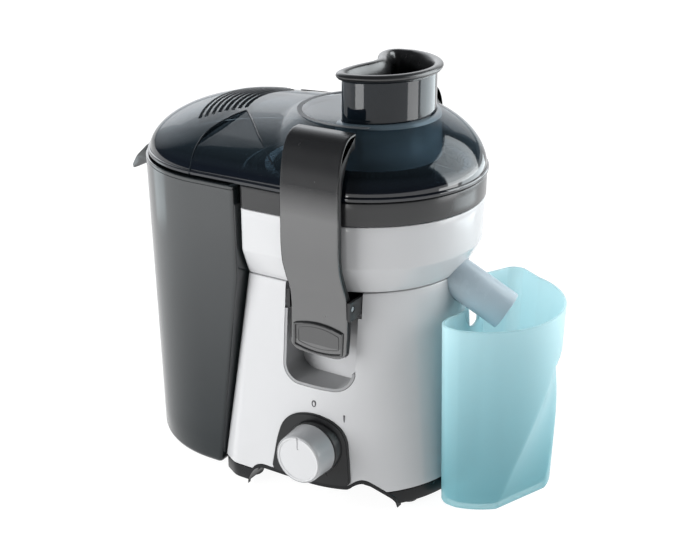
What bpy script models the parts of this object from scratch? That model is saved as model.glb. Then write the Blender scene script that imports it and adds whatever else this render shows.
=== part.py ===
"""Compact centrifugal juicer on its motor base, with its pulp container and juice cup.

The dimensions are in millimetres and are turned into metres where a mesh is made.
They are measured from the motor axis: +X points to the spout and the cup, -X to the
pulp container, -Y to the user, and Z = 0 is the worktop.
"""
import math

import bmesh
import bpy
from mathutils import Matrix, Vector

MM = 0.001
GAP = 0.4                   # clearance between touching pieces

# --- driving dimensions ---------------------------------------------------------------
RIM = 90.0                  # radius of the bowl, collar and lid about the motor axis
CENTRE_X = 32.9             # motor axis, from the middle of the whole object's box
CENTRE_Y = 7.9

PLATE_Z = 4.0               # underside of the base plate
PLINTH_Z = 16.0             # base plate to motor housing
LIP = 3.0                   # thickness of the base plate's edge over the arches
SEAM_Z = 174.5              # motor housing to juice bowl
COLLAR_Z = 228.0            # juice bowl to collar
RIM_Z = 246.0               # collar to lid
PLATEAU_Z = 289.5           # flat top of the lid
CHUTE_Z = 319.5             # mouth of the feed chute
WALL = 3.0

BASE_A, BASE_B = 86.0, 91.5     # half width and half depth of the housing at the plinth
TOP_A, TOP_B = 76.5, 78.5       # the same at the seam
BASE_EAR, TOP_EAR = 80.0, 57.0  # how far its front and back reach towards the pulp container
NICHE_R = 92.0                  # hollow of the pulp container round the bowl
BULGE_R = 86.5                  # left side of the housing and bowl

LATCH_X, LATCH_W = 10.0, 47.5   # middle and width of the front latch
PIVOT_Y, PIVOT_Z = 81.4, 166.5  # latch pin
PIN_R = 1.8
WELL_FLOOR = 60.0               # depth line of the latch recess
WELL_X = (-22.5, 35.0)
WELL_Z = (97.0, 182.0)
LUG_Z = 155.0                   # the recess is wider for the lugs from here up
LUG_X = 37.2

KNOB_X, KNOB_Z = 8.5, 51.5
KNOB_R = 19.0
PANEL_Y = 93.4                  # face of the control panel round the knob
KNOB_Y = 113.0                  # face of the knob

INLET_X, INLET_Z = -30.0, 38.0  # where the cord enters, at the back

CHUTE_X = 6.8                   # middle of the round side of the chute
CHUTE_R, CHUTE_DEPTH = 43.5, 46.5
BOSS_OUT = 4.6              # how far the boss on the lid stands out from the chute

BIN_X = -94.5                   # centre of the round end of the pulp container
BIN_R = 91.8
BIN_FLOOR = 8.0

SPOUT_R = 15.0
SPOUT_ROOT = (71.7, 2.4, 173.4)
SPOUT_TIP = (112.9, 12.6, 147.5)

SPOUT_TURN = math.atan2(SPOUT_TIP[1] - SPOUT_ROOT[1], SPOUT_TIP[0] - SPOUT_ROOT[0])

CUP_RIM_Z = 151.0
CUP_X, CUP_Y = 100.0, 30.0      # the cup tapers towards this line
CUP_HOLLOW = 88.6
GRIP_TOP, GRIP_DEPTH = 107.0, 5.7


# --- mesh helpers ---------------------------------------------------------------------
def arc(cx, cy, rx, ry, start, end, steps):
    """Points on an ellipse, angles in degrees."""
    turn = [math.radians(start + (end - start) * i / steps) for i in range(steps + 1)]
    return [(cx + rx * math.cos(t), cy + ry * math.sin(t)) for t in turn]


def at_height(outline, z):
    return [(x, y, z) for x, y in outline]


def loft(sections, cap_start=True, cap_end=True):
    """A skin over sections that all have the same number of points."""
    bm = bmesh.new()
    rings = [[bm.verts.new(p) for p in section] for section in sections]
    count = len(rings[0])
    for low, high in zip(rings, rings[1:]):
        for i in range(count):
            j = (i + 1) % count
            bm.faces.new((low[i], low[j], high[j], high[i]))
    if cap_start:
        bm.faces.new(list(reversed(rings[0])))
    if cap_end:
        bm.faces.new(rings[-1])
    return bm


def revolve(profile, steps=32, centre=(0.0, 0.0)):
    """Turn a closed (radius, height) profile about a vertical line; radius 0 makes a pole."""
    bm = bmesh.new()
    rings = []
    for radius, z in profile:
        if radius == 0:
            rings.append([bm.verts.new((centre[0], centre[1], z))] * steps)
        else:
            rings.append([bm.verts.new((centre[0] + radius * math.cos(2 * math.pi * i / steps),
                                        centre[1] + radius * math.sin(2 * math.pi * i / steps),
                                        z)) for i in range(steps)])
    for k, low in enumerate(rings):
        high = rings[(k + 1) % len(rings)]
        for i in range(steps):
            j = (i + 1) % steps
            corners = list(dict.fromkeys((low[i], low[j], high[j], high[i])))
            if len(corners) > 2:
                bm.faces.new(corners)
    return bm


def bar(start, end, radius, steps=24, bore=0.0):
    """A round bar or tube between two points."""
    start, end = Vector(start), Vector(end)
    length = (end - start).length
    if bore:
        bm = revolve([(bore, 0), (radius, 0), (radius, length), (bore, length)], steps)
    else:
        bm = revolve([(0, 0), (radius, 0), (radius, length), (0, length)], steps)
    turn = Vector((0, 0, 1)).rotation_difference(end - start).to_matrix().to_4x4()
    bmesh.ops.transform(bm, matrix=Matrix.Translation(start) @ turn, verts=bm.verts)
    return bm


def block(low, high, bevel=0.0):
    bm = bmesh.new()
    bmesh.ops.create_cube(bm, size=1.0)
    size = Vector(high) - Vector(low)
    bmesh.ops.scale(bm, vec=size, verts=bm.verts)
    bmesh.ops.translate(bm, vec=Vector(low) + size / 2, verts=bm.verts)
    if bevel:
        bmesh.ops.bevel(bm, geom=bm.edges[:], offset=bevel, segments=2, profile=0.5,
                        affect="EDGES")
    return bm


def prism(outline, front, back):
    """An (x, z) outline carried along Y from front to back; either may depend on z."""
    def depth(limit, z):
        return limit(z) if callable(limit) else limit
    return loft([[(x, depth(front, z), z) for x, z in outline],
                 [(x, depth(back, z), z) for x, z in outline]])


def turned(bm, angle):
    """The same shape turned about the motor axis, in degrees."""
    bmesh.ops.transform(bm, matrix=Matrix.Rotation(math.radians(angle), 4, "Z"), verts=bm.verts)
    return bm


# --- objects and materials ------------------------------------------------------------
FINISHES = {   # colour, roughness, metallic, alpha
    "white_plastic": ((0.86, 0.87, 0.89), 0.25, 0.0, 1.0),
    "grey_plastic": ((0.11, 0.115, 0.12), 0.35, 0.0, 1.0),
    "dark_plastic": ((0.045, 0.048, 0.052), 0.4, 0.0, 1.0),
    "smoke_clear": ((0.05, 0.075, 0.095), 0.08, 0.0, 0.6),
    "smoke_grey": ((0.11, 0.13, 0.14), 0.15, 0.0, 0.85),
    "aqua_clear": ((0.42, 0.72, 0.77), 0.2, 0.0, 0.55),
    "spout_clear": ((0.55, 0.62, 0.68), 0.2, 0.0, 0.8),
    "rubber": ((0.02, 0.02, 0.02), 0.8, 0.0, 1.0),
    "steel": ((0.62, 0.63, 0.65), 0.3, 1.0, 1.0),
    "copper": ((0.55, 0.25, 0.12), 0.4, 1.0, 1.0),
    "ink": ((0.1, 0.1, 0.11), 0.5, 0.0, 1.0),
}


def finish(slot):
    made = bpy.data.materials.get(slot)
    if made:
        return made
    colour, roughness, metallic, alpha = FINISHES[slot]
    made = bpy.data.materials.new(slot)
    made.use_nodes = True
    shader = made.node_tree.nodes["Principled BSDF"]
    shader.inputs["Base Color"].default_value = (*colour, 1.0)
    shader.inputs["Roughness"].default_value = roughness
    shader.inputs["Metallic"].default_value = metallic
    shader.inputs["Alpha"].default_value = alpha
    return made


def empty(name, place, parent=None):
    """A frame at a point, given in the juicer's own millimetres."""
    made = bpy.data.objects.new(name, None)
    bpy.context.scene.collection.objects.link(made)
    made.parent = parent
    made.location = Vector(place) * MM
    made["pivot"] = list(place)
    return made


def add(name, bm, slot, frame, sharp=35.0):
    """Make an object; a moving piece's frame is an empty on its joint's axis."""
    pivot = Vector(frame["pivot"]) if frame.parent else Vector((0, 0, 0))
    bmesh.ops.translate(bm, vec=-pivot, verts=bm.verts)
    bmesh.ops.scale(bm, vec=(MM, MM, MM), verts=bm.verts)
    bmesh.ops.recalc_face_normals(bm, faces=bm.faces)
    mesh = bpy.data.meshes.new(name)
    bm.to_mesh(mesh)
    bm.free()
    mesh.shade_smooth()
    mesh.set_sharp_from_angle(angle=math.radians(sharp))
    made = bpy.data.objects.new(name, mesh)
    bpy.context.scene.collection.objects.link(made)
    made.parent = frame
    if slot:
        mesh.materials.append(finish(slot))
    return made


def guide(name, bm, frame):
    """A hidden solid that only cuts or joins."""
    made = add(name, bm, None, frame)
    made.hide_render = True
    made.display_type = "WIRE"
    return made


def boolean(target, shape, operation="DIFFERENCE"):
    """Cut or join another solid, given as a mesh or as a guide."""
    tool = shape
    if isinstance(shape, bmesh.types.BMesh):
        tool = guide(f"{target.name}_guide", shape, target.parent)
    step = target.modifiers.new(operation.lower(), "BOOLEAN")
    step.operation = operation
    step.solver = "EXACT"
    step.object = tool
    return target


# --- outlines -------------------------------------------------------------------------
def body_outline(half_width, half_depth, ear, bulge, corner):
    """Round towards the spout, straight at the front and back, bulging into the container."""
    inner = math.degrees(math.acos(ear / bulge))
    along, across = corner
    points = arc(0, 0, half_width, half_depth, -90, 90, 28)
    points += [(-ear + along, half_depth), (-ear, half_depth - across)]
    points += arc(0, 0, bulge, bulge, 180 - inner, 180 + inner, 12)
    points += [(-ear, -half_depth + across), (-ear + along, -half_depth)]
    return points


def housing_depth(z):
    """Half depth of the motor housing at a height."""
    up = (z - PLINTH_Z) / (SEAM_Z - PLINTH_Z)
    return BASE_B + (TOP_B - BASE_B) * up


def housing_outline(z, inset=0.0):
    up = (z - PLINTH_Z) / (SEAM_Z - PLINTH_Z)
    half_width = BASE_A + (TOP_A - BASE_A) * up - inset
    ear = BASE_EAR + (TOP_EAR - BASE_EAR) * up - inset
    corner = (14.0 - 11.0 * up, 8.0 - 6.0 * up)
    return body_outline(half_width, housing_depth(z) - inset, ear, BULGE_R - inset, corner)


def well_outline(inset=0.0):
    """Front view of a latch recess: open at the top, with round lower corners."""
    low_x, high_x = WELL_X[0] + inset, WELL_X[1] - inset
    low_z, high_z = WELL_Z[0] + inset, WELL_Z[1]
    bend = 15.0 - inset
    points = arc(low_x + bend, low_z + bend, bend, bend, 180, 270, 5)
    points += arc(high_x - bend, low_z + bend, bend, bend, 270, 360, 5)
    points += [(high_x, LUG_Z + inset), (LUG_X - inset, LUG_Z + inset), (LUG_X - inset, high_z)]
    return points + [(low_x, high_z)]


def grown(outline, offset):
    """The same outline with its sides moved outwards, or inwards when offset is negative."""
    moved = []
    count = len(outline)
    for i in range(count):
        here = Vector(outline[i])
        before = (here - Vector(outline[i - 1])).normalized()
        after = (Vector(outline[(i + 1) % count]) - here).normalized()
        out = Vector((before.y + after.y, -before.x - after.x)).normalized()
        slant = max(0.5, out.dot(Vector((after.y, -after.x))))
        moved.append(tuple(here + out * offset / slant))
    return moved


def chute_outline(offset=0.0):
    """Round towards the spout, with a notch between two lobes on the flat side."""
    points = arc(CHUTE_X, 0, CHUTE_R, CHUTE_DEPTH, -84, 84, 26)
    lobe = [(6.6, 45.4), (3.4, 42.8), (1.8, 38.8), (1.2, 33.0), (1.4, 24.0), (3.0, 13.0), (5.6, 4.5)]
    points += lobe + [(6.6, 0.0)] + [(x, -y) for x, y in reversed(lobe)]
    return grown(points, offset)


def bin_outline(z, inset=0.0):
    """Round end away from the bowl, straight sides, and a hollow that hugs the bowl."""
    up = min(1.0, max(0.0, (z - BIN_FLOOR) / (SEAM_Z - BIN_FLOOR)))
    taper = 0.965 + 0.035 * min(1.0, z / RIM_Z)
    radius = BIN_R * taper - inset
    centre = BIN_X * (0.99 + 0.01 * taper)
    ear = 81.2 + (58.2 - 81.2) * up + inset
    hollow = NICHE_R + inset
    inner = math.degrees(math.acos(ear / hollow))
    points = arc(centre, 0, radius, radius, 90, 270, 26)
    points += [(-ear - 3.0, -radius), (-ear, -radius + 3.0)]
    points += list(reversed(arc(0, 0, hollow, hollow, 180 - inner, 180 + inner, 14)))
    points += [(-ear, radius - 3.0), (-ear - 3.0, radius)]
    return points


def cup_outline(z, inset=0.0):
    """Round away from the base, with a pouring corner at the back and a hollow for the base."""
    taper = 0.92 + 0.08 * z / CUP_RIM_Z
    points = arc(87.5, 19, 65, 65, -78, 70, 22)
    points += arc(88.5, 80.5, 11, 11, 62, 165, 6)
    points += arc(0, 0, CUP_HOLLOW, CUP_HOLLOW, 42, -18, 10)
    points += arc(95, -33, 11, 11, 185, 265, 5)
    tapered = [(CUP_X + (x - CUP_X) * taper, CUP_Y + (y - CUP_Y) * taper) for x, y in points]
    if z > GRIP_TOP:
        return grown(tapered, -inset)
    # flat grip on the outer side, turning towards the front as it goes down
    angle = math.radians(47.0 * (z / GRIP_TOP) ** 1.3 - 22.0)
    normal = Vector((math.cos(angle), math.sin(angle)))
    limit = max(Vector(p).dot(normal) for p in tapered) - GRIP_DEPTH
    flat = []
    for x, y in tapered:
        over = max(0.0, Vector((x, y)).dot(normal) - limit)
        flat.append((x - normal.x * over, y - normal.y * over))
    return grown(flat, -inset)


# --- the motor base -------------------------------------------------------------------
def arches(raised):
    """Edge of the base between its feet, seen from the front: two arches and a straight part."""
    edge = [(-54, 0), (-52.5, 4.5), (-50, 11), (-46, 16.6), (-40, 19.4), (34, 19.0), (37.5, 22.4),
            (42, 24.4), (46, 23.6), (50, 20.6), (56, 15.2), (62, 9), (66, 0)]
    return [(x, z + raised if z > 4 else z - 5) for x, z in edge]


def base_plate(frame):
    low = body_outline(BASE_A - 0.8, BASE_B - 0.8, BASE_EAR - 0.8, BULGE_R - 3, (14.0, 8.0))
    high = housing_outline(PLINTH_Z, 0.2)
    plate = add("base_plate", loft([at_height(low, PLATE_Z), at_height(high, PLINTH_Z - GAP)]),
                "dark_plastic", frame)
    tray = body_outline(BASE_A - 10, BASE_B - 10, BASE_EAR - 10, BULGE_R - 9, (14.0, 8.0))
    boolean(plate, loft([at_height(tray, 8.5), at_height(tray, 30)]))
    for side in (-1, 1):
        # a thin lip follows the arches up into the housing
        lip = guide("lip", prism(arches(LIP)[1:-1], side * 56.0, side * 120.0), frame)
        boolean(lip, loft([at_height(housing_outline(z, 0.5), z) for z in (2, 40)]), "INTERSECT")
        boolean(lip, loft([at_height(housing_outline(z, 3.4), z) for z in (1, 45)]))
        boolean(plate, lip, "UNION")
        boolean(plate, prism(arches(0.0), side * 50.0, side * 120.0))
    # ledge that carries the pulp container
    ledge = block((-128, -34, PLATE_Z), (-72, 34, BIN_FLOOR - GAP))
    return boolean(plate, ledge, "UNION")


def rubber_feet(frame):
    places = {"front_left": (-62, -72), "front_right": (62, -42),
              "rear_left": (-62, 72), "rear_right": (62, 42)}
    for name, (x, y) in places.items():
        pad = revolve([(0, 0), (7.6, 0), (8.4, 1.0), (8.4, PLATE_Z - GAP), (0, PLATE_Z - GAP)],
                      20, (x, y))
        add(f"foot_{name}", pad, "rubber", frame)


def motor_housing(frame):
    top = SEAM_Z - GAP
    outer = loft([at_height(housing_outline(z), z) for z in (PLINTH_Z, 70, 122, top)])
    shell = add("motor_housing", outer, "white_plastic", frame)
    deck = top - WALL
    inner = loft([at_height(housing_outline(z, WALL), z) for z in (PLINTH_Z - 5, 70, 122, deck)])
    bmesh.ops.triangulate(inner, faces=inner.faces)
    room = guide("housing_room", inner, frame)
    for turn in (0, 180):       # the recesses keep walls of their own inside the shell
        pocket = prism(well_outline(-WALL), -130.0, -(WELL_FLOOR - WALL))
        boolean(room, turned(pocket, turn))
    boolean(shell, room)
    for turn in (0, 180):
        boolean(shell, turned(prism(well_outline(), -130.0, -WELL_FLOOR), turn))
    for side in (-1, 1):
        boolean(shell, prism(arches(LIP + GAP), side * 54.0, side * 120.0))
    boolean(shell, bar((0, 0, 160), (0, 0, 190), 17.0))
    boolean(shell, bar(on_spout(-0.03), on_spout(1.4), SPOUT_R + GAP, 32))
    boolean(shell, bar((KNOB_X, -70, KNOB_Z), (KNOB_X, -110, KNOB_Z), 6.0, 20))
    boolean(shell, bar((INLET_X, 70, INLET_Z), (INLET_X, 110, INLET_Z), 7.6 + GAP, 20))
    for step in list(room.modifiers) + list(shell.modifiers):
        step.solver = "MANIFOLD"    # the exact solver drops faces of this thin wall
    return shell


def on_spout(share):
    """A point on the spout's line: 0 is its root and 1 its tip."""
    return Vector(SPOUT_ROOT).lerp(Vector(SPOUT_TIP), share)


def latch_trim(frame):
    """The grey liner of each recess, up to the lugs."""
    for name, turn in (("front", 0), ("rear", 180)):
        ring = well_outline(GAP)[:12]
        ring += [(WELL_X[1] - GAP, LUG_Z - 1.0), (WELL_X[0] + GAP, LUG_Z - 1.0)]
        liner = prism(ring, lambda z: -(housing_depth(z) - 9.0), -(WELL_FLOOR + GAP))
        trim = add(f"{name}_latch_trim", turned(liner, turn), "grey_plastic", frame)
        # the side next to the latch is left open, so that its end can swing in
        hole = well_outline(2.6)[:12] + [(WELL_X[1] - 2.6, 113.0), (WELL_X[1] + 5.0, 115.0),
                                         (WELL_X[1] + 5.0, 200.0), (WELL_X[0] + 2.6, 200.0)]
        boolean(trim, turned(prism(hole, -130.0, -40.0), turn))


def control_panel(frame):
    """The dark arched boss behind the knob, following the curve of the housing."""
    foot = 22.6
    outline = [(-29.5, foot), (36.0, foot), (34.0, 45.0), (32.2, 60.0), (28.0, 68.6), (20.0, 74.6)]
    outline += [(10.0, 77.2), (2.0, 77.2), (-8.0, 74.8), (-16.5, 69.6), (-22.0, 62.0), (-25.6, 49.0)]
    panel = add("control_panel", prism(outline, -120.0, -60.0), "dark_plastic", frame)
    face = loft([at_height(housing_outline(z, -2.0), z) for z in (PLINTH_Z - 4, SEAM_Z - 60)])
    boolean(panel, face, "INTERSECT")
    pedestal = bar((KNOB_X, -80, KNOB_Z), (KNOB_X, -PANEL_Y, KNOB_Z), KNOB_R + 2.0, 40)
    boolean(panel, pedestal, "UNION")
    boolean(panel, loft([at_height(housing_outline(z, -GAP), z) for z in (PLINTH_Z - 6, SEAM_Z - 50)]))
    return boolean(panel, bar((KNOB_X, -70, KNOB_Z), (KNOB_X, -120, KNOB_Z), 5.0, 20))


def dial_marks(frame):
    """A ring for off and a bar for on, raised on the front of the housing."""
    z_off, z_on = 84.9, 76.6
    y_off = -surface_y(5.4, z_off)
    off = prism(arc(5.4, z_off, 1.8, 2.8, 0, 360, 14)[:-1], y_off - 0.9, y_off - GAP)
    add("dial_mark_off", off, "ink", frame)
    y_on = -surface_y(28.8, z_on)
    on = block((28.3, y_on - 1.1, z_on - 2.8), (29.3, y_on - 0.6, z_on + 2.8))
    add("dial_mark_on", on, "ink", frame)


def surface_y(x, z):
    """Distance of the housing's front from the axis plane at a point."""
    up = (z - PLINTH_Z) / (SEAM_Z - PLINTH_Z)
    half_width = BASE_A + (TOP_A - BASE_A) * up
    return housing_depth(z) * math.sqrt(1 - (x / half_width) ** 2) if x > 0 else housing_depth(z)


def speed_knob(frame, knob_frame):
    face, back = -KNOB_Y, -(PANEL_Y + GAP)
    profile = [(0, 0), (KNOB_R - 1.2, 0), (KNOB_R, 1.2), (KNOB_R + 1.0, back - face), (0, back - face)]
    knob = revolve(profile, 40)
    turn = Matrix.Rotation(math.radians(-90), 4, "X")
    place = Matrix.Translation((KNOB_X, face, KNOB_Z))
    bmesh.ops.transform(knob, matrix=place @ turn, verts=knob.verts)
    made = add("speed_knob", knob, "white_plastic", knob_frame)
    slot = block((KNOB_X - 0.7, face - 2, KNOB_Z + 9.5), (KNOB_X + 0.7, face + 1.0, KNOB_Z + KNOB_R + 3))
    boolean(made, slot)
    shaft = bar((KNOB_X, back + 0.8, KNOB_Z), (KNOB_X, -66, KNOB_Z), 3.0, 16)
    add("switch_shaft", shaft, "steel", knob_frame)
    boolean(made, bar((KNOB_X, back + 5, KNOB_Z), (KNOB_X, back - 9, KNOB_Z), 3.0 + GAP, 16))
    body = block((KNOB_X - 15, -65, KNOB_Z - 13), (KNOB_X + 15, -46, KNOB_Z + 13), 1.5)
    add("rotary_switch", body, "dark_plastic", frame)


# --- the motor ------------------------------------------------------------------------
def motor(frame, drive_frame):
    can = revolve([(13, 46), (34, 46), (36, 49), (36, 112), (33, 116), (13, 116), (13, 110),
                   (31, 108), (31, 54), (13, 52)], 32)
    add("motor_can", can, "steel", frame)
    for name, z in (("lower_bearing", 46.5), ("upper_bearing", 110.5)):
        add(name, revolve([(4.4, z), (12.6, z), (12.6, z + 5), (4.4, z + 5)], 24), "steel", frame)
    armature = revolve([(0, 24), (4, 24), (4, 58), (27, 60), (27, 104), (4, 106), (4, 186),
                        (0, 186)], 28)
    add("motor_armature", armature, "copper", drive_frame)
    fan = revolve([(4.4, 28), (30, 28), (30, 29.5), (9, 30.5), (9, 38), (4.4, 38)], 32)
    cooling_fan = add("cooling_fan", fan, "dark_plastic", drive_frame)
    for k in range(8):
        blade = block((8, -0.7, 29), (29, 0.7, 38))
        boolean(cooling_fan, turned(blade, 45 * k), "UNION")
    bracket = revolve([(37, 42), (44, 42), (44, 45.6), (37, 45.6)], 32)
    plate = add("motor_bracket", bracket, "steel", frame)
    for k in range(4):
        angle = 45 + 90 * k
        boolean(plate, turned(block((37.5, -6, 42), (56, 6, 45.6)), angle), "UNION")
        x, y = 50 * math.cos(math.radians(angle)), 50 * math.sin(math.radians(angle))
        post = revolve([(0, 8.5 + GAP), (5, 8.5 + GAP), (5, 37), (0, 37)], 16, (x, y))
        add(f"motor_post_{k + 1}", post, "dark_plastic", frame)
        grommet = revolve([(0, 37.4), (7, 37.4), (7, 41.6), (0, 41.6)], 16, (x, y))
        add(f"motor_grommet_{k + 1}", grommet, "rubber", frame)
    coupling = revolve([(4.4, 178), (12, 178), (13.5, 180), (13.5, 190), (11, 193), (0, 193),
                        (0, 186.4), (4.4, 186.4)], 12)
    add("drive_coupling", coupling, "grey_plastic", drive_frame)
    seal = revolve([(4.5, 171.6), (16.4, 171.6), (16.4, 173.8), (4.5, 173.8)], 28)
    add("shaft_seal", seal, "rubber", frame)


def base_fittings(frame, plate):
    gland = revolve([(3.2, 0), (7.6, 0), (7.6, 10.6), (10.5, 10.6), (10.5, 13.6), (3.2, 13.6)], 20)
    turn = Matrix.Rotation(math.radians(-90), 4, "X")
    place = Matrix.Translation((INLET_X, housing_depth(INLET_Z) - 9.0, INLET_Z))
    bmesh.ops.transform(gland, matrix=place @ turn, verts=gland.verts)
    add("cord_inlet", gland, "dark_plastic", frame)
    for k, (x, y) in enumerate(((-52, -58), (44, -38), (-52, 58), (44, 38))):
        screw = revolve([(0, 4.6), (3.4, 4.6), (3.4, 6.6), (1.5, 7.4), (1.5, 20), (0, 20)], 12, (x, y))
        add(f"base_screw_{k + 1}", screw, "steel", frame)
        hole = revolve([(0, 2), (3.8, 2), (3.8, 7.2), (1.9, 7.8), (1.9, 30), (0, 30)], 12, (x, y))
        boolean(plate, hole)


# --- bowl, basket and spout -----------------------------------------------------------
def juice_bowl(frame):
    levels = ((SEAM_Z + GAP, 77.0, 78.5, TOP_EAR), (193, 86.6, 86.6, 56.0), (196, 88.0, 88.0, 55.5),
              (COLLAR_Z - GAP, RIM - 1.4, RIM - 1.4, 55.0))
    outer = [at_height(body_outline(a, b, ear, BULGE_R - (6.0 if z < 190 else 0.0), (3.0, 2.0)), z)
             for z, a, b, ear in levels]
    bowl = add("juice_bowl", loft(outer), "white_plastic", frame)
    room = [(0, 190), (20, 190), (20, 178.5), (69, 178.5), (79, 196), (82, 240), (0, 240)]
    boolean(bowl, revolve(room, 48))
    boolean(bowl, bar((0, 0, 165), (0, 0, 200), 15.5))
    boolean(bowl, bar(on_spout(-0.03), on_spout(1.4), SPOUT_R + GAP, 32))
    return boolean(bowl, bar(on_spout(-0.45), on_spout(0.2), SPOUT_R - 3.0, 32))


def bowl_collar(frame):
    low = body_outline(RIM - 1.2, RIM - 1.2, 55.0, BULGE_R, (3.0, 2.0))
    collar = add("bowl_collar", loft([at_height(low, COLLAR_Z), at_height(low, RIM_Z - 1.0)]),
                 "grey_plastic", frame)
    return boolean(collar, bar((0, 0, 200), (0, 0, 260), 82.0, 48))


def juice_spout(frame):
    tube = bar(SPOUT_ROOT, SPOUT_TIP, SPOUT_R, 32, SPOUT_R - 2.2)
    return add("juice_spout", tube, "spout_clear", frame)


def basket(drive_frame):
    wall = [(43, 194.5), (44.5, 194.5), (72, 247.5), (77, 247.5), (77, 249), (71, 249), (43, 196)]
    add("filter_basket", revolve(wall, 48), "steel", drive_frame)
    hub = revolve([(14, 191.5), (19, 191.5), (22, 194.2), (42.4, 194.2), (42.4, 197), (0, 197),
                   (0, 194), (14, 194)], 36)
    add("basket_hub", hub, "grey_plastic", drive_frame)
    disc = revolve([(0, 197.4), (41.8, 197.4), (41.8, 198.6), (0, 198.6)], 36)
    add("grater_disc", disc, "steel", drive_frame)


# --- lid and pusher -------------------------------------------------------------------
def lid_rise(x, y):
    """Height of the lid's outer face above its rim, at a point of the plan."""
    ridge = min(0.0, max(BIN_X, x))
    across = math.hypot(x - ridge, y) / RIM
    towards_bin = ridge / BIN_X
    swell = math.sqrt(max(0.0, 1 - min(1.0, across) ** 2))
    pulp_side = (46.5 - 5.5 * towards_bin) * swell
    facet = 3.0 + 0.98 * (RIM - abs(y))
    bowl_side = 54.0 * math.sqrt(max(0.0, 1 - (x * x + y * y) / RIM ** 2))
    return min(max(bowl_side, min(pulp_side, facet)), PLATEAU_Z - RIM_Z)


def lid_solid(inset, floor):
    """The lid's outer or inner form, as rings that close in on its ridge."""
    flat = [BIN_X * k / 6 for k in range(1, 6)]
    outline = (arc(0, 0, RIM, RIM, -90, 90, 22) + [(x, RIM) for x in flat]
               + arc(BIN_X, 0, RIM, RIM, 90, 270, 22) + [(x, -RIM) for x in reversed(flat)])
    levels = [1.0, 0.985, 0.95, 0.89, 0.80, 0.70, 0.58, 0.42, 0.22, 0.0]
    sections = [at_height([pulled(p, 1.0 - inset / RIM) for p in outline], floor)]
    for reach in levels:
        ring = []
        for p in outline:
            x, y = pulled(p, reach)
            z = RIM_Z + max(0.6, lid_rise(x, y)) - inset
            px, py = pulled(p, reach * (1.0 - inset / RIM))
            ring.append((px, py, max(z, floor + 1.0)))
        sections.append(ring)
    bm = loft(sections, cap_end=False)
    bmesh.ops.remove_doubles(bm, verts=bm.verts, dist=0.01)
    return bm


def pulled(point, reach):
    """A point of the lid's plan, drawn in towards its ridge."""
    x, y = point
    ridge = min(0.0, max(BIN_X, x))
    return ridge + (x - ridge) * reach, y * reach


def lid(frame):
    made = add("lid", lid_solid(0.0, RIM_Z), "smoke_clear", frame)
    boolean(made, lid_solid(2.4, RIM_Z - 6.0))
    outer = chute_outline()
    boss = chute_outline(BOSS_OUT)
    tube = loft([at_height(outer, 222.0), at_height(outer, 250.0), at_height(boss, 252.0),
                 at_height(boss, PLATEAU_Z - 2.5), at_height(chute_outline(BOSS_OUT - 2.0), PLATEAU_Z),
                 at_height(outer, PLATEAU_Z + 0.2), at_height(outer, CHUTE_Z)])
    boolean(made, tube, "UNION")
    bore = chute_outline(-2.6)
    boolean(made, loft([at_height(bore, 210.0), at_height(bore, CHUTE_Z + 10)]))
    seal = revolve([(83.0, RIM_Z - 0.6), (86.6, RIM_Z - 0.6), (86.6, RIM_Z + 1.8), (83.0, RIM_Z + 1.8)],
                   48)
    add("lid_seal", seal, "rubber", frame)
    return made


def food_pusher(frame):
    """Hollow plunger with a flange that rests on the chute's mouth."""
    rest = CHUTE_Z + GAP
    body, hollow = chute_outline(-3.2), chute_outline(-5.4)
    sections = [at_height(body, 212.0), at_height(body, rest + 0.6), at_height(chute_outline(3.0), rest)]
    flange = ((3.9, 0.8), (4.2, 2.2), (3.9, 3.6), (2.6, 4.6), (0.4, 5.0), (-2.0, 4.6), (-3.6, 3.2))
    for offset, rise in flange:
        sections.append(at_height(chute_outline(offset), rest + rise))
    sections += [at_height(hollow, rest - 4.0), at_height(hollow, 214.5)]
    return add("food_pusher", loft(sections), "grey_plastic", frame)


# --- container and cup ----------------------------------------------------------------
def pulp_container(frame):
    rim = RIM_Z - 1.6
    outside = [at_height(bin_outline(BIN_FLOOR, 5.0), BIN_FLOOR),
               at_height(bin_outline(BIN_FLOOR, 1.4), BIN_FLOOR + 1.6),
               at_height(bin_outline(BIN_FLOOR + 5), BIN_FLOOR + 5),
               at_height(bin_outline(SEAM_Z), SEAM_Z), at_height(bin_outline(rim), rim)]
    inside = [at_height(bin_outline(rim, 2.2), rim), at_height(bin_outline(SEAM_Z, 2.2), SEAM_Z),
              at_height(bin_outline(BIN_FLOOR + 5, 2.2), BIN_FLOOR + 5),
              at_height(bin_outline(BIN_FLOOR, 5.5), BIN_FLOOR + 2.4)]
    bin_body = add("pulp_container", loft(outside + inside), "smoke_grey", frame)
    # beak-shaped pull at the round end
    end = BIN_X - BIN_R
    side = [(end + 1.0, rim - 1.0), (end - 12, rim - 8), (end - 26, rim - 20), (end - 32, rim - 29),
            (end - 31, rim - 32), (end - 26, rim - 30), (end - 14, rim - 24), (end + 1.0, rim - 22)]
    beak = loft([[(x, y * (1 - 0.25 * (end - x) / 32 if x < end else 1), z) for x, z in side]
                 for y in (-21.0, 21.0)])
    return boolean(bin_body, beak, "UNION")


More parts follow.
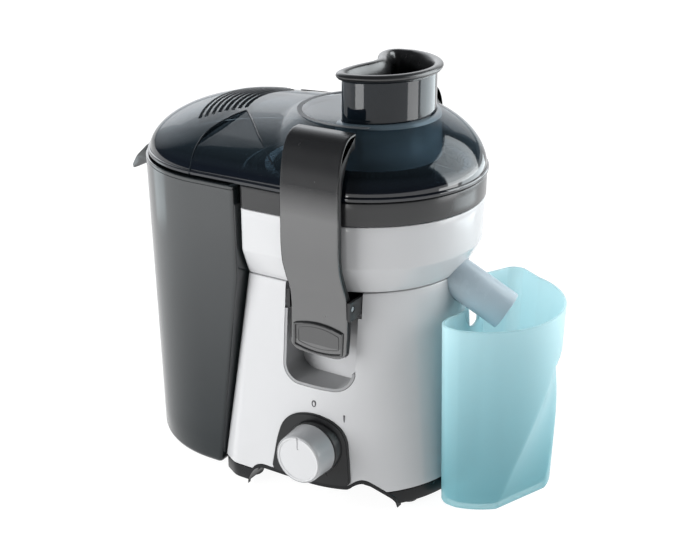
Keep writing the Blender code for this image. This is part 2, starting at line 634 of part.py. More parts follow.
def juice_cup(frame):
    heights = (2.5, 24.0, 46.0, 68.0, 88.0, GRIP_TOP, GRIP_TOP + 7.0, CUP_RIM_Z)
    outside = [at_height(cup_outline(0, 2.5), 0.0)]
    outside += [at_height(cup_outline(z), z) for z in heights]
    inside = [at_height(cup_outline(z, 2.0), max(z, 3.5)) for z in reversed(heights)]
    cup = add("juice_cup", loft(outside + inside), "aqua_clear", frame)
    # a round notch in the side next to the base clears the spout
    middle = -SPOUT_ROOT[0] * math.sin(SPOUT_TURN) + SPOUT_ROOT[1] * math.cos(SPOUT_TURN)
    notch = [(middle - 16.5, 170.0)] + arc(middle, 148.0, 16.5, 14.5, 180, 360, 14)
    notch += [(middle + 16.5, 170.0)]
    return boolean(cup, turned(prism(notch, -110.0, -60.0), 90 + math.degrees(SPOUT_TURN)))


# --- latches --------------------------------------------------------------------------
def latch_profile():
    """Side view of a latch: (distance from the axis plane, height), outside then inside."""
    outside = [(72.4, 292.0), (79.9, 291.6), (85.9, 288.5), (91.4, 281), (94.9, 268), (96.9, 252),
               (97.2, 212), (95.7, 198), (90.9, 184), (86.4, 174), (84.9, 160), (85.5, 140),
               (86.4, 126)]
    inside = [(80.4, 124.4), (78.5, 140), (77.9, 160), (78.9, 172), (84.2, 184), (89.3, 196),
              (90.7, 206), (90.7, 250), (88.5, 262), (83.9, 272.5), (79.4, 279.5), (72.4, 281.0)]
    return outside + inside


def latches(frame, arm_frames):
    """Both latches; the rear one is the front one turned half way round the motor axis."""
    low, high = LATCH_X - LATCH_W / 2, LATCH_X + LATCH_W / 2
    for name, turn, arm_frame in (("front", 0, arm_frames[0]), ("rear", 180, arm_frames[1])):
        profile = [(-y, z) for y, z in latch_profile()]
        body = loft([[(x, y, z) for y, z in profile] for x in (low, high)])
        strap = add(f"{name}_latch", turned(body, turn), "grey_plastic", arm_frame, 40.0)
        corner = strap.modifiers.new("corners", "BEVEL")
        corner.width = 1.4 * MM
        corner.segments = 2
        corner.limit_method = "ANGLE"
        corner.angle_limit = math.radians(60)
        boolean(strap, turned(pivot_bar(low - 10, high + 10, PIN_R + GAP), turn))
        add(f"{name}_latch_pin", turned(pivot_bar(low - 2.6, high + 2.6, PIN_R), turn), "steel", frame)
        back = block((low - 3.0, -(WELL_FLOOR + 4), 158), (high + 3.0, -(WELL_FLOOR + GAP), 172))
        lugs = add(f"{name}_latch_bracket", turned(back, turn), "dark_plastic", frame)
        for x in (low - 3.0, high + 0.6):
            lug = block((x, -(PIVOT_Y + 4.0), 158), (x + 2.4, -(WELL_FLOOR + 2), 172))
            boolean(lugs, turned(lug, turn), "UNION")
        boolean(lugs, turned(pivot_bar(low - 10, high + 10, PIN_R + GAP), turn))
        plate = arc(LATCH_X, 131.5, 18, 2.4, 180, 360, 8) + arc(LATCH_X, 149.5, 18, 2.4, 0, 180, 8)
        badge = prism(plate, -87.4, -86.8)
        add(f"{name}_latch_plate", turned(badge, turn), "grey_plastic", arm_frame)


def pivot_bar(low, high, radius):
    return bar((low, -PIVOT_Y, PIVOT_Z), (high, -PIVOT_Y, PIVOT_Z), radius, 16)


# --- assembly -------------------------------------------------------------------------
def main():
    for old in list(bpy.data.objects):
        bpy.data.objects.remove(old, do_unlink=True)
    frame = empty("juicer_frame", (CENTRE_X, CENTRE_Y, 0))
    drive_frame = empty("drive_axis", (0, 0, 0), frame)
    knob_frame = empty("knob_axis", (KNOB_X, -PANEL_Y, KNOB_Z), frame)
    front_arm = empty("front_latch_axis", (LATCH_X, -PIVOT_Y, PIVOT_Z), frame)
    rear_arm = empty("rear_latch_axis", (-LATCH_X, PIVOT_Y, PIVOT_Z), frame)
    lid_frame = empty("lid_frame", (0, 0, RIM_Z), frame)
    pusher_frame = empty("pusher_frame", (CHUTE_X, 0, CHUTE_Z), frame)
    bin_frame = empty("container_frame", (BIN_X, 0, 0), frame)
    cup_frame = empty("cup_frame", (CUP_X, CUP_Y, 0), frame)

    plate = base_plate(frame)
    rubber_feet(frame)
    motor_housing(frame)
    latch_trim(frame)
    control_panel(frame)
    dial_marks(frame)
    speed_knob(frame, knob_frame)
    motor(frame, drive_frame)
    base_fittings(frame, plate)
    juice_bowl(frame)
    bowl_collar(frame)
    juice_spout(frame)
    basket(drive_frame)
    lid(lid_frame)
    food_pusher(pusher_frame)
    pulp_container(bin_frame)
    juice_cup(cup_frame)
    latches(frame, (front_arm, rear_arm))


main()
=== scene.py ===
"""Looks of a compact centrifugal juicer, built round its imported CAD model.

Shapes are given in millimetres from the motor axis: +X to the spout, -Y to the user and
Z = 0 the worktop. They are turned into metres in the shared frame where a piece is made.
"""
import math

import bmesh
import bpy
from mathutils import Matrix, Vector


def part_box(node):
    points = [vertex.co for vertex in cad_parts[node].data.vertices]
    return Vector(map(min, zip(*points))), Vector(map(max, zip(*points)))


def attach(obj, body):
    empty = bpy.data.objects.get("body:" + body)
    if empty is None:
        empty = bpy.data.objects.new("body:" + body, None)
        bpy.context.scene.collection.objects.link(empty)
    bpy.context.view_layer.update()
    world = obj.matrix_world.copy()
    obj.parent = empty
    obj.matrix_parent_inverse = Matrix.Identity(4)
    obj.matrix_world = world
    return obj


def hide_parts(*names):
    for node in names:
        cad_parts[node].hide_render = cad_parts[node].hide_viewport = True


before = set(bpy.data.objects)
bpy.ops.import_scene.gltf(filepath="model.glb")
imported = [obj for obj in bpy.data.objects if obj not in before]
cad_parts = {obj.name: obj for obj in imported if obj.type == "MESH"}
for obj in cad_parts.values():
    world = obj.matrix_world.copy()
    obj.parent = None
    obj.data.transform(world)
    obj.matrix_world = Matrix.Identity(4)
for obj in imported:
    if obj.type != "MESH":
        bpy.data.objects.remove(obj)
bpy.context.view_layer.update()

MM = 0.001
GAP = 0.4


# --- places taken from the frame ---
def mid(low, high):
    """The middle of a box, as three numbers."""
    return [(a + b) / 2 for a, b in zip(low, high)]


AXIS = Vector((*mid(*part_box("grater_disc"))[:2], 0.0))


def span(node):
    """Lowest and highest corner of a CAD node, in millimetres from the motor axis."""
    low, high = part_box(node)
    return (low - AXIS) / MM, (high - AXIS) / MM


HOUSING = span("motor_housing")
COLLAR = span("bowl_collar")
LID = span("lid")
PUSHER = span("food_pusher")
CONTAINER = span("pulp_container")
CUP = span("juice_cup")
STRAP = span("front_latch")
KNOB = span("speed_knob")
INLET = span("cord_inlet")
BASKET = span("filter_basket")

RIM = (LID[1].y - LID[0].y) / 2         # radius of the bowl, collar and lid
PLINTH_Z = HOUSING[0].z
SEAM_Z = HOUSING[1].z + GAP
COLLAR_Z = COLLAR[0].z
RIM_Z = COLLAR[1].z + 1.0
CHUTE_Z = LID[1].z
CUP_RIM_Z = CUP[1].z
PLATEAU_RISE = 43.5                     # flat top of the lid, above its rim
PLATEAU_Z = RIM_Z + PLATEAU_RISE
LID_STEP = 0.4                          # the lid's domes start this far above its rim
DOME_Z = RIM_Z + LID_STEP
WALL, LID_WALL, CHUTE_WALL, BIN_WALL, CUP_WALL, SPOUT_WALL = 3.0, 2.4, 2.6, 2.2, 2.0, 2.2

BASE_A, BASE_B = HOUSING[1].x, HOUSING[1].y     # half width and half depth at the plinth
TOP_A, TOP_B = 76.5, 78.5                       # the same at the seam
BASE_EAR, TOP_EAR = 80.0, 57.0                  # its flank beside the container
BULGE_R, NICHE_R = 86.5, 92.0                   # its bulge, and the container's hollow for it
PLINTH_INSET = 0.6

LATCH_X = mid(*STRAP)[0]
WELL_FLOOR = 60.0                       # the latch recess: its floor, sides and ends
WELL_X, WELL_Z = (-22.5, 35.0), (97.0, 182.0)
LUG_Z, LUG_X = 155.0, 37.2              # where it widens for the latch's lug
WELL_TURN = 15.0

KNOB_X, _, KNOB_Z = mid(*KNOB)
KNOB_R = (KNOB[1].x - KNOB[0].x) / 2 - 1.0
KNOB_Y, KNOB_BACK = -KNOB[0].y, -KNOB[1].y
PANEL_Y = KNOB_BACK - GAP

INLET_X, _, INLET_Z = mid(*INLET)

CHUTE_X, CHUTE_R, CHUTE_DEPTH = 6.8, 43.5, 46.5     # its round side: middle, reach, half depth
TUBE_Z = 222.0                                      # lower end of its tube

BIN_X, BIN_R = -94.5, 91.8
BIN_NARROW = 0.965                      # its width at the worktop, as a share of the rim's
BIN_EAR, BIN_TOP_EAR = 81.2, 58.2
BIN_FLOOR = CONTAINER[0].z

SPOUT_ROOT = Vector((71.7, 2.4, 173.4))
SPOUT_TIP = Vector((112.9, 12.6, 147.5))
SPOUT_R = 15.0
SPOUT_TURN = math.atan2(SPOUT_TIP.y - SPOUT_ROOT.y, SPOUT_TIP.x - SPOUT_ROOT.x)

CUP_X, CUP_Y, CUP_HOLLOW = 100.0, 30.0, 88.6
CUP_R, CUP_CORNER = 64.85, 11           # its round side and its corners
CUP_NARROW = 0.92
GRIP_TOP, GRIP_DEPTH, GRIP_FADE = 107.0, 5.7, 7.0
GRIP_START, GRIP_TWIST = 22.0, 47.0     # degrees: its turn at the worktop, and up to its top


# --- mesh helpers ---
def arc(cx, cy, rx, ry, start, end, steps):
    """Points on an ellipse, angles in degrees."""
    turn = [math.radians(start + (end - start) * i / steps) for i in range(steps + 1)]
    return [(cx + rx * math.cos(t), cy + ry * math.sin(t)) for t in turn]


def at_height(outline, z):
    return [(x, y, z) for x, y in outline]


def loft(sections, capped=True, closed=False):
    """A skin over sections with equal numbers of points; closed joins the last to the first."""
    bm = bmesh.new()
    rings = [[bm.verts.new(p) for p in section] for section in sections]
    count = len(rings[0])
    pairs = list(zip(rings, rings[1:])) + ([(rings[-1], rings[0])] if closed else [])
    for low, high in pairs:
        for i in range(count):
            j = (i + 1) % count
            bm.faces.new((low[i], low[j], high[j], high[i]))
    if capped and not closed:
        bm.faces.new(list(reversed(rings[0])))
        bm.faces.new(rings[-1])
    return bm


def stack(outline_at, rows, closed=False):
    """A skin over outline_at(z, inset) at each (z, inset) of rows."""
    return loft([at_height(outline_at(z, inset), z) for z, inset in rows], closed=closed)


def revolve(profile, steps=72, centre=(0.0, 0.0)):
    """Turn a closed (radius, height) profile about a vertical line; radius 0 makes a pole."""
    bm = bmesh.new()
    rings = []
    for radius, z in profile:
        if radius == 0:
            rings.append([bm.verts.new((centre[0], centre[1], z))] * steps)
            continue
        ring = [(centre[0] + radius * math.cos(math.tau * i / steps),
                 centre[1] + radius * math.sin(math.tau * i / steps), z) for i in range(steps)]
        rings.append([bm.verts.new(p) for p in ring])
    for k, low in enumerate(rings):
        high = rings[(k + 1) % len(rings)]
        for i in range(steps):
            j = (i + 1) % steps
            corners = list(dict.fromkeys((low[i], low[j], high[j], high[i])))
            if len(corners) > 2:
                bm.faces.new(corners)
    return bm


def moved(bm, matrix):
    bmesh.ops.transform(bm, matrix=matrix, verts=bm.verts)
    return bm


def turned(bm, angle):
    """The same shape turned about the motor axis, in degrees."""
    return moved(bm, Matrix.Rotation(math.radians(angle), 4, "Z"))


def towards(start, end):
    """The matrix that stands a shape made along +Z on start, pointing to end."""
    turn = Vector((0, 0, 1)).rotation_difference(Vector(end) - Vector(start))
    return Matrix.Translation(start) @ turn.to_matrix().to_4x4()


def bar(start, end, radius, steps=48, bore=0.0, edge=0.0):
    """A round bar or tube between two points, its outer edges rounded."""
    length = (Vector(end) - Vector(start)).length
    soft = edge * 0.3
    outside = [(radius - edge, 0), (radius - soft, soft), (radius, edge),
               (radius, length - edge), (radius - soft, length - soft), (radius - edge, length)]
    if not edge:
        outside = [(radius, 0), (radius, length)]
    inside = [(bore, 0)] + outside + [(bore, length)]
    return moved(revolve(inside, steps), towards(start, end))


def block(low, high, bevel=0.0):
    bm = bmesh.new()
    bmesh.ops.create_cube(bm, size=1.0)
    size = Vector(high) - Vector(low)
    bmesh.ops.scale(bm, vec=size, verts=bm.verts)
    bmesh.ops.translate(bm, vec=Vector(low) + size / 2, verts=bm.verts)
    if bevel:
        bmesh.ops.bevel(bm, geom=bm.edges[:], offset=bevel, segments=3, profile=0.5,
                        affect="EDGES")
    return bm


def prism(outline, front, back):
    """An (x, z) outline carried along Y from front to back."""
    return loft([[(x, front, z) for x, z in outline], [(x, back, z) for x, z in outline]])


def mesh_from(name, bm):
    """A mesh made of bm, which is freed."""
    mesh = bpy.data.meshes.new(name)
    bm.to_mesh(mesh)
    bm.free()
    return mesh


def merged(*parts):
    """Several meshes put in one, without joining them."""
    bm = bmesh.new()
    for part in parts:
        mesh = mesh_from("part", part)
        bm.from_mesh(mesh)
        bpy.data.meshes.remove(mesh)
    return bm


def placed(name, data):
    """A new object in the scene."""
    made = bpy.data.objects.new(name, data)
    bpy.context.scene.collection.objects.link(made)
    return made


def combine(base, tool, operation="DIFFERENCE"):
    """The Boolean of two closed meshes, as a new mesh."""
    solids = []
    for bm in (base, tool):
        bmesh.ops.recalc_face_normals(bm, faces=bm.faces)
        solids.append(placed("solid", mesh_from("solid", bm)))
    step = solids[0].modifiers.new("boolean", "BOOLEAN")
    step.operation = operation
    step.solver = "MANIFOLD"
    step.object = solids[1]
    result = solids[0].evaluated_get(bpy.context.evaluated_depsgraph_get())
    made = bmesh.new()
    made.from_mesh(result.to_mesh())
    for solid in solids:
        mesh = solid.data
        bpy.data.objects.remove(solid)
        bpy.data.meshes.remove(mesh)
    return made


def cut(base, *tools):
    """The base with each tool taken out of it in turn."""
    for tool in tools:
        base = combine(base, tool)
    return base


def grown(outline, offset):
    """The same outline with its sides moved outwards, or inwards when offset is negative."""
    made = []
    count = len(outline)
    for i in range(count):
        here = Vector(outline[i])
        before = (here - Vector(outline[i - 1])).normalized()
        after = (Vector(outline[(i + 1) % count]) - here).normalized()
        out = Vector((before.y + after.y, -before.x - after.x)).normalized()
        slant = max(0.5, out.dot(Vector((after.y, -after.x))))
        made.append(tuple(here + out * offset / slant))
    return made


def bend(before, corner, after, radius, steps=5):
    """Points of a round corner, as a curve between its two sides."""
    corner = Vector(corner)
    to_before = Vector(before) - corner
    to_after = Vector(after) - corner
    reach = min(radius, 0.45 * to_before.length, 0.45 * to_after.length)
    start = corner + to_before.normalized() * reach
    end = corner + to_after.normalized() * reach
    points = []
    for i in range(steps + 1):
        t = i / steps
        points.append(tuple(start.lerp(corner, t).lerp(corner.lerp(end, t), t)))
    return points


def rounded(points, radius, steps=5):
    """A closed outline with all of its corners rounded."""
    ends = points[1:] + points[:1]
    made = []
    for i, corner in enumerate(points):
        made += bend(points[i - 1], corner, ends[i], radius, steps)
    return made


def soft_line(points, radius, steps=4):
    """An open line with its corners rounded."""
    made = [points[0]]
    for before, corner, after in zip(points, points[1:], points[2:]):
        made += bend(before, corner, after, radius, steps)
    return made + [points[-1]]


def quarter(radius, steps=3):
    """(inset, rise) pairs of a rounded edge, from its flat face to its side."""
    return [(radius * (1 - math.sin(math.pi / 2 * i / steps)),
             radius * (1 - math.cos(math.pi / 2 * i / steps))) for i in range(steps + 1)]


def standing(outline_at, low, high, step, edge):
    """A solid over outline_at(z, inset) from low to high, with rounded ends."""
    rows = [(low + rise, inset) for inset, rise in quarter(edge)]
    count = max(1, round((high - low - 2 * edge) / step))
    rows += [(low + edge + (high - low - 2 * edge) * i / count, 0.0) for i in range(1, count)]
    rows += [(high - rise, inset) for inset, rise in reversed(quarter(edge))]
    return stack(outline_at, rows)


# --- materials ---
def new_material(name):
    made = bpy.data.materials.new(name)
    made.use_nodes = True
    tree = made.node_tree
    return made, tree, tree.nodes["Principled BSDF"]


def feed(tree, node, values):
    """Set a node's inputs, each to a value or to another node's output."""
    for socket, value in values.items():
        if isinstance(value, bpy.types.NodeSocket):
            tree.links.new(value, node.inputs[socket])
        else:
            node.inputs[socket].default_value = value


def add(tree, kind, values, output=0, **settings):
    """Add a node of some kind and return one of its outputs."""
    node = tree.nodes.new("ShaderNode" + kind)
    for key, value in settings.items():
        setattr(node, key, value)
    feed(tree, node, values)
    return node.outputs[output]


def place(tree):
    """Where a point is on its own piece, in metres."""
    return add(tree, "TexCoord", {}, "Object")


def noise(tree, scale, detail=2.0, stretch=(1.0, 1.0, 1.0)):
    """Noise fixed to the piece; scale is in waves per metre."""
    where = add(tree, "Mapping", {"Vector": place(tree), "Scale": stretch}, "Vector")
    return add(tree, "TexNoise", {"Vector": where, "Scale": scale, "Detail": detail}, "Fac")


def ramp(tree, source, low, high, start=0.3, end=0.7):
    """Source mapped from start..end to low..high."""
    return add(tree, "MapRange", {"Value": source, "From Min": start, "From Max": end,
                                  "To Min": low, "To Max": high}, "Result")


def shades(tree, source, dark, light):
    """Two colours mixed by a source."""
    values = {0: source, 6: (*dark, 1.0), 7: (*light, 1.0)}
    return add(tree, "Mix", values, 2, data_type="RGBA")


def blended(tree, share, first, second):
    """Two shaders mixed by a share."""
    return add(tree, "MixShader", {0: share, 1: first, 2: second})


def relief(tree, shader, source, depth, strength=1.0):
    """Bump of a depth in millimetres."""
    bump = {"Height": source, "Distance": depth * MM, "Strength": strength}
    feed(tree, shader, {"Normal": add(tree, "Bump", bump, "Normal")})


def scaled(colour, factor):
    return tuple(min(1.0, c * factor) for c in colour)


def by_height(tree, low, high):
    """A value that changes with height; low and high are (height in mm, value)."""
    up = add(tree, "SeparateXYZ", {0: place(tree)}, "Z")
    return ramp(tree, up, low[1], high[1], low[0] * MM, high[0] * MM)


def cloudy(tree, colour, scale, spread):
    """A colour that drifts a little, spread either way."""
    cloud = ramp(tree, noise(tree, scale, 3.0), 0.0, 1.0)
    return shades(tree, cloud, scaled(colour, 1 - spread), scaled(colour, 1 + spread))


# waves per metre of the drift in colour, the uneven gloss and the bumps of a surface
MOULDED_WAVES = 22.0, 90.0, 500.0
CLEAR_WAVES = 15.0, 60.0, 26.0


def moulded(name, colour, roughness, grain=0.02, ior=1.5, spread=0.05, coat=0.0, painted_shade_gloss=None):
    """Moulded plastic: slightly cloudy colour, uneven gloss and a fine surface grain."""
    made, tree, shader = new_material(name)
    clouds, gloss, bumps = MOULDED_WAVES
    feed(tree, shader, {
        "Base Color": cloudy(tree, colour, clouds, spread),
        "Roughness": ramp(tree, noise(tree, gloss, 4.0), roughness * 0.8, roughness * 1.2,
                          0.1, 0.9),
        "IOR": ior, "Coat Weight": coat, "Coat Roughness": 0.08})
    # painted shade: the gloss changes with height, dimming parts that the lamps leave in shade
    if painted_shade_gloss:
        feed(tree, shader, {"Specular IOR Level": by_height(tree, *painted_shade_gloss)})
    relief(tree, shader, noise(tree, bumps, 2.0), grain, 0.3)
    return made


def clear(name, tint, colour, opacity, roughness, ior=1.5, edge_gain=1.0, glow=0.0, painted_shade_gloss=None,
          foot=None, foot_z=(15.0, 145.0), painted_shade_closed_z=None):
    """Tinted clear plastic: seen through when faced, closed and glossy at a slant.

    Foot is a darker colour for the lower end, painted shade over its given heights, and below the
    closing heights the wall isn't seen through but is painted dark as shade. Glow is the share of
    light that is scattered through the wall.
    """
    made, tree, shader = new_material(name)
    clouds, gloss, bumps = CLEAR_WAVES
    # painted shade: a darker colour fades in towards the lower end
    if foot:
        up = by_height(tree, (foot_z[0], 0.0), (foot_z[1], 1.0))
        body = shades(tree, up, foot, colour)
    else:
        body = cloudy(tree, colour, clouds, 0.1)
    feed(tree, shader, {
        "Base Color": body, "IOR": ior,
        "Roughness": ramp(tree, noise(tree, gloss, 4.0), roughness * 0.7, roughness * 1.3)})
    # painted shade: the gloss changes with height, dimming parts that the lamps leave in shade
    if painted_shade_gloss:
        feed(tree, shader, {"Specular IOR Level": by_height(tree, *painted_shade_gloss)})
    relief(tree, shader, noise(tree, bumps, 1.0), 0.05, 0.3)
    slant = add(tree, "LayerWeight", {"Blend": 0.35}, "Facing")
    share = ramp(tree, slant, opacity, min(1.0, opacity + edge_gain), 0.0, 1.0)
    # painted shade: below these heights the wall is shut and dark instead of seen through
    if painted_shade_closed_z:
        closed = by_height(tree, (painted_shade_closed_z[0], 0.97), (painted_shade_closed_z[1], 0.0))
        share = add(tree, "Math", {0: share, 1: closed}, operation="MAXIMUM")
    surface = shader.outputs[0]
    if glow:
        surface = blended(tree, glow, surface, add(tree, "BsdfTranslucent", {"Color": body}))
    through = add(tree, "BsdfTransparent", {"Color": (*tint, 1.0)})
    surface = blended(tree, share, through, surface)
    feed(tree, tree.nodes["Material Output"], {"Surface": surface})
    return made


def metal(name, colour, roughness, stretch):
    """Brushed metal; the brush marks run across the stretched direction."""
    made, tree, shader = new_material(name)
    marks = noise(tree, 220.0, 5.0, stretch)
    feed(tree, shader, {
        "Base Color": shades(tree, ramp(tree, marks, 0.0, 1.0), scaled(colour, 0.8), colour),
        "Roughness": ramp(tree, marks, roughness * 0.7, roughness * 1.4), "Metallic": 1.0})
    relief(tree, shader, marks, 0.03, 0.4)
    return made


def windings(name):
    """Lacquered copper wire wound side by side."""
    made, tree, shader = new_material(name)
    coils = {"Vector": place(tree), "Scale": 180.0, "Distortion": 1.5}
    wires = add(tree, "TexWave", coils, "Fac", bands_direction="Z")
    feed(tree, shader, {
        "Base Color": shades(tree, wires, (0.18, 0.06, 0.02), (0.72, 0.3, 0.12)),
        "Metallic": 0.8, "Roughness": 0.35})
    relief(tree, shader, wires, 0.2)
    return made


WHITE = (0.50, 0.505, 0.515)
GREY = (0.022, 0.0225, 0.0235)
DARK = (0.010, 0.0105, 0.0115)

FINISHES = {
    "white_plastic": moulded("white_gloss", WHITE, 0.2, 0.01, spread=0.015, coat=0.3),
    "grey_plastic": moulded("grey_satin", GREY, 0.25, 0.01, ior=2.0),
    "dark_plastic": moulded("dark_satin", DARK, 0.3, 0.02, ior=1.55),
    # the lid goes near black and shut towards its foot: painted shade of the dark bowl under it
    "smoke_clear": clear("smoky_clear_painted_shade", (0.62, 0.70, 0.75), (0.026, 0.040, 0.051), 0.2, 0.07,
                         1.75, edge_gain=0.65, foot=(0.002, 0.004, 0.008), foot_z=(254.0, 268.0),
                         painted_shade_closed_z=(253.0, 264.0)),
    # its gloss fades towards the bottom: painted shade near the worktop
    "smoke_grey": clear("smoky_grey_painted_shade", (0.4, 0.44, 0.46), (0.014, 0.018, 0.020), 0.9, 0.14, 1.8,
                        painted_shade_gloss=((20.0, 0.16), (215.0, 0.58))),
    # its colour darkens towards the bottom: painted shade
    "aqua_clear": clear("aqua_frosted_painted_shade", (0.80, 0.93, 0.95), (0.66, 0.84, 0.87), 0.46, 0.2,
                        edge_gain=0.7, glow=0.4, foot=(0.30, 0.57, 0.62)),
    "spout_clear": clear("frosted_clear", (0.85, 0.9, 0.94), (0.56, 0.64, 0.69), 0.8, 0.25,
                         glow=0.3),
    "rubber": moulded("black_rubber", (0.018, 0.018, 0.018), 0.75, 0.12),
    "steel": metal("brushed_steel", (0.66, 0.67, 0.69), 0.28, (1.0, 1.0, 0.06)),
    "copper": windings("copper_wire"),
    "ink": moulded("printed_ink", (0.07, 0.07, 0.075), 0.45, 0.01),
}
# the strap's gloss fades towards its top: painted shade on its upper bend
STRAP_SKIN = moulded("strap_satin", (0.013, 0.0135, 0.0145), 0.25, 0.004, ior=2.45,
                     painted_shade_gloss=((234.0, 0.5), (256.0, 0.1)))
# near black and dull, so that the strap's sides show painted shade
STRAP_CORE_PAINTED_SHADE = moulded("strap_core", (0.003, 0.003, 0.0035), 0.35, 0.01, ior=1.35)
COLLAR_BAND = moulded("collar_satin", GREY, 0.22, 0.008, ior=1.55)
PLINTH_DARK = moulded("plinth_satin", (0.008, 0.0085, 0.0095), 0.3, 0.01, ior=1.34)
PANEL_DARK = moulded("panel_satin", (0.012, 0.0125, 0.0135), 0.3, 0.01, ior=1.42)
# a darker copy of the white plastic: painted shade on the knob's rim and side
KNOB_PAINTED_SHADE = moulded("knob_skirt_painted_shade", (0.33, 0.335, 0.345), 0.25, 0.01, spread=0.015)
# far lighter than the grey plastic it stands for: painted light that lifts the shade in the latch
# recess
LINER_PAINTED_LIGHT = moulded("liner_satin", (0.27, 0.273, 0.28), 0.4, 0.01)
PUSHER_GREY = moulded("pusher_satin", DARK, 0.3, 0.01, ior=1.8)
SMOKY_EDGE = moulded("smoky_edge", (0.010, 0.014, 0.018), 0.25, 0.01)
RING_GREY = moulded("ring_satin", (0.12, 0.13, 0.14), 0.5, 0.01, ior=1.3)
CHUTE_CLEAR = clear("smoky_tube", (0.30, 0.38, 0.44), (0.006, 0.010, 0.015), 0.65, 0.06, 1.62)
# near white under a smoky tint: painted light that makes the boss read lit inside the dark lid
BOSS_PAINTED_LIGHT = clear("smoky_boss_painted_light", (0.4, 0.48, 0.54), (0.80, 0.84, 0.87), 0.92, 0.12, 2.1)


# --- making pieces ---
def piece(name, bm, slot, body, stands_for=(), sharp=32.0, finish=None):
    """A piece in the shared frame; stands_for names the CAD nodes that it replaces."""
    bmesh.ops.recalc_face_normals(bm, faces=bm.faces)
    bmesh.ops.scale(bm, vec=(MM, MM, MM), verts=bm.verts)
    bmesh.ops.translate(bm, vec=AXIS, verts=bm.verts)
    mesh = mesh_from(name, bm)
    mesh.shade_smooth()
    mesh.set_sharp_from_angle(angle=math.radians(sharp))
    mesh.materials.append(finish or FINISHES[slot])
    made = placed(name, mesh)
    if stands_for:
        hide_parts(*stands_for)
    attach(made, body)


# --- outlines ---
def body_outline(half_width, half_depth, ear, bulge, corner):
    """Round towards the spout, straight at the front and back, bulging into the container."""
    inner = math.degrees(math.acos(ear / bulge))
    along, across = corner
    points = arc(0, 0, half_width, half_depth, -90, 90, 72)
    front = [(0, half_depth), (-ear + along, half_depth), (-ear, half_depth - across), (-ear, 0)]
    ear_points = bend(front[0], front[1], front[2], 4.0, 4)
    ear_points += bend(front[1], front[2], front[3], 2.5, 4)
    points += ear_points
    points += arc(0, 0, bulge, bulge, 180 - inner, 180 + inner, 28)
    return points + [(x, -y) for x, y in reversed(ear_points)]


def at_knob(y):
    """A point on the dial's own line."""
    return KNOB_X, y, KNOB_Z


def housing_up(z):
    return (z - PLINTH_Z) / (SEAM_Z - PLINTH_Z)


def housing_depth(z):
    return BASE_B + (TOP_B - BASE_B) * housing_up(z)


def housing_outline(z, inset=0.0):
    up = housing_up(z)
    half_width = BASE_A + (TOP_A - BASE_A) * up - inset
    ear = BASE_EAR + (TOP_EAR - BASE_EAR) * up - inset
    corner = (14.0 - 11.0 * up, 8.0 - 6.0 * up)
    return body_outline(half_width, housing_depth(z) - inset, ear, BULGE_R - inset, corner)


def housing_front(x, z):
    """Distance of the housing's front from the axis plane."""
    half_width = BASE_A + (TOP_A - BASE_A) * housing_up(z)
    return housing_depth(z) * math.sqrt(1 - (max(0.0, x) / half_width) ** 2)


def housing_core(inset, *heights):
    """The housing's solid form through some heights, its sides moved in by inset."""
    return stack(housing_outline, [(z, inset) for z in heights])


def well_outline(inset=0.0):
    """Front view of a latch recess: open at the top, with round lower corners."""
    low_x, high_x = WELL_X[0] + inset, WELL_X[1] - inset
    low_z, high_z = WELL_Z[0] + inset, WELL_Z[1]
    turn = WELL_TURN - inset
    points = arc(low_x + turn, low_z + turn, turn, turn, 180, 270, 14)
    points += arc(high_x - turn, low_z + turn, turn, turn, 270, 360, 14)
    points += [(high_x, LUG_Z + inset), (LUG_X - inset, LUG_Z + inset), (LUG_X - inset, high_z)]
    return points + [(low_x, high_z)]


def chute_outline(offset=0.0):
    """Round towards the spout, with a notch between two lobes on the flat side."""
    coarse = [(6.6, 45.4), (1.0, 44.6), (-3.4, 40.8), (-4.4, 35.0), (-3.2, 28.5), (0.8, 20.0),
              (5.4, 12.0), (6.8, 4.5), (6.0, -4.0), (3.4, -13.0), (1.4, -24.0), (1.2, -33.0),
              (1.8, -38.8), (3.4, -42.8), (6.6, -45.4)]
    points = arc(CHUTE_X, 0, CHUTE_R, CHUTE_DEPTH, -84, 84, 64)
    for i, here in enumerate(coarse):
        before = coarse[i - 1] if i else points[-1]
        after = coarse[i + 1] if i + 1 < len(coarse) else points[0]
        points += bend(before, here, after, 9.0, 3)
    return grown(points, offset)


def chute_stack(rows, closed=False):
    """A skin over the chute's outline at each (offset, z) of rows."""
    return loft([at_height(chute_outline(offset), z) for offset, z in rows], closed=closed)


def bin_outline(z, inset=0.0):
    """Round end away from the bowl, straight sides, and a hollow that hugs the bowl."""
    up = min(1.0, max(0.0, (z - BIN_FLOOR) / (SEAM_Z - BIN_FLOOR)))
    taper = BIN_NARROW + 0.035 * min(1.0, z / RIM_Z)
    radius = BIN_R * taper - inset
    centre = BIN_X * (0.99 + 0.01 * taper)
    ear = BIN_EAR + (BIN_TOP_EAR - BIN_EAR) * up + inset
    hollow = NICHE_R + inset
    inner = math.degrees(math.acos(ear / hollow))
    points = arc(centre, 0, radius, radius, 90, 270, 72)
    corner = bend((-150, -radius), (-ear, -radius), (-ear, 0), 3.0)
    points += corner + arc(0, 0, hollow, hollow, 180 - inner, 180 + inner, 28)[::-1]
    return points + [(x, -y) for x, y in reversed(corner)]


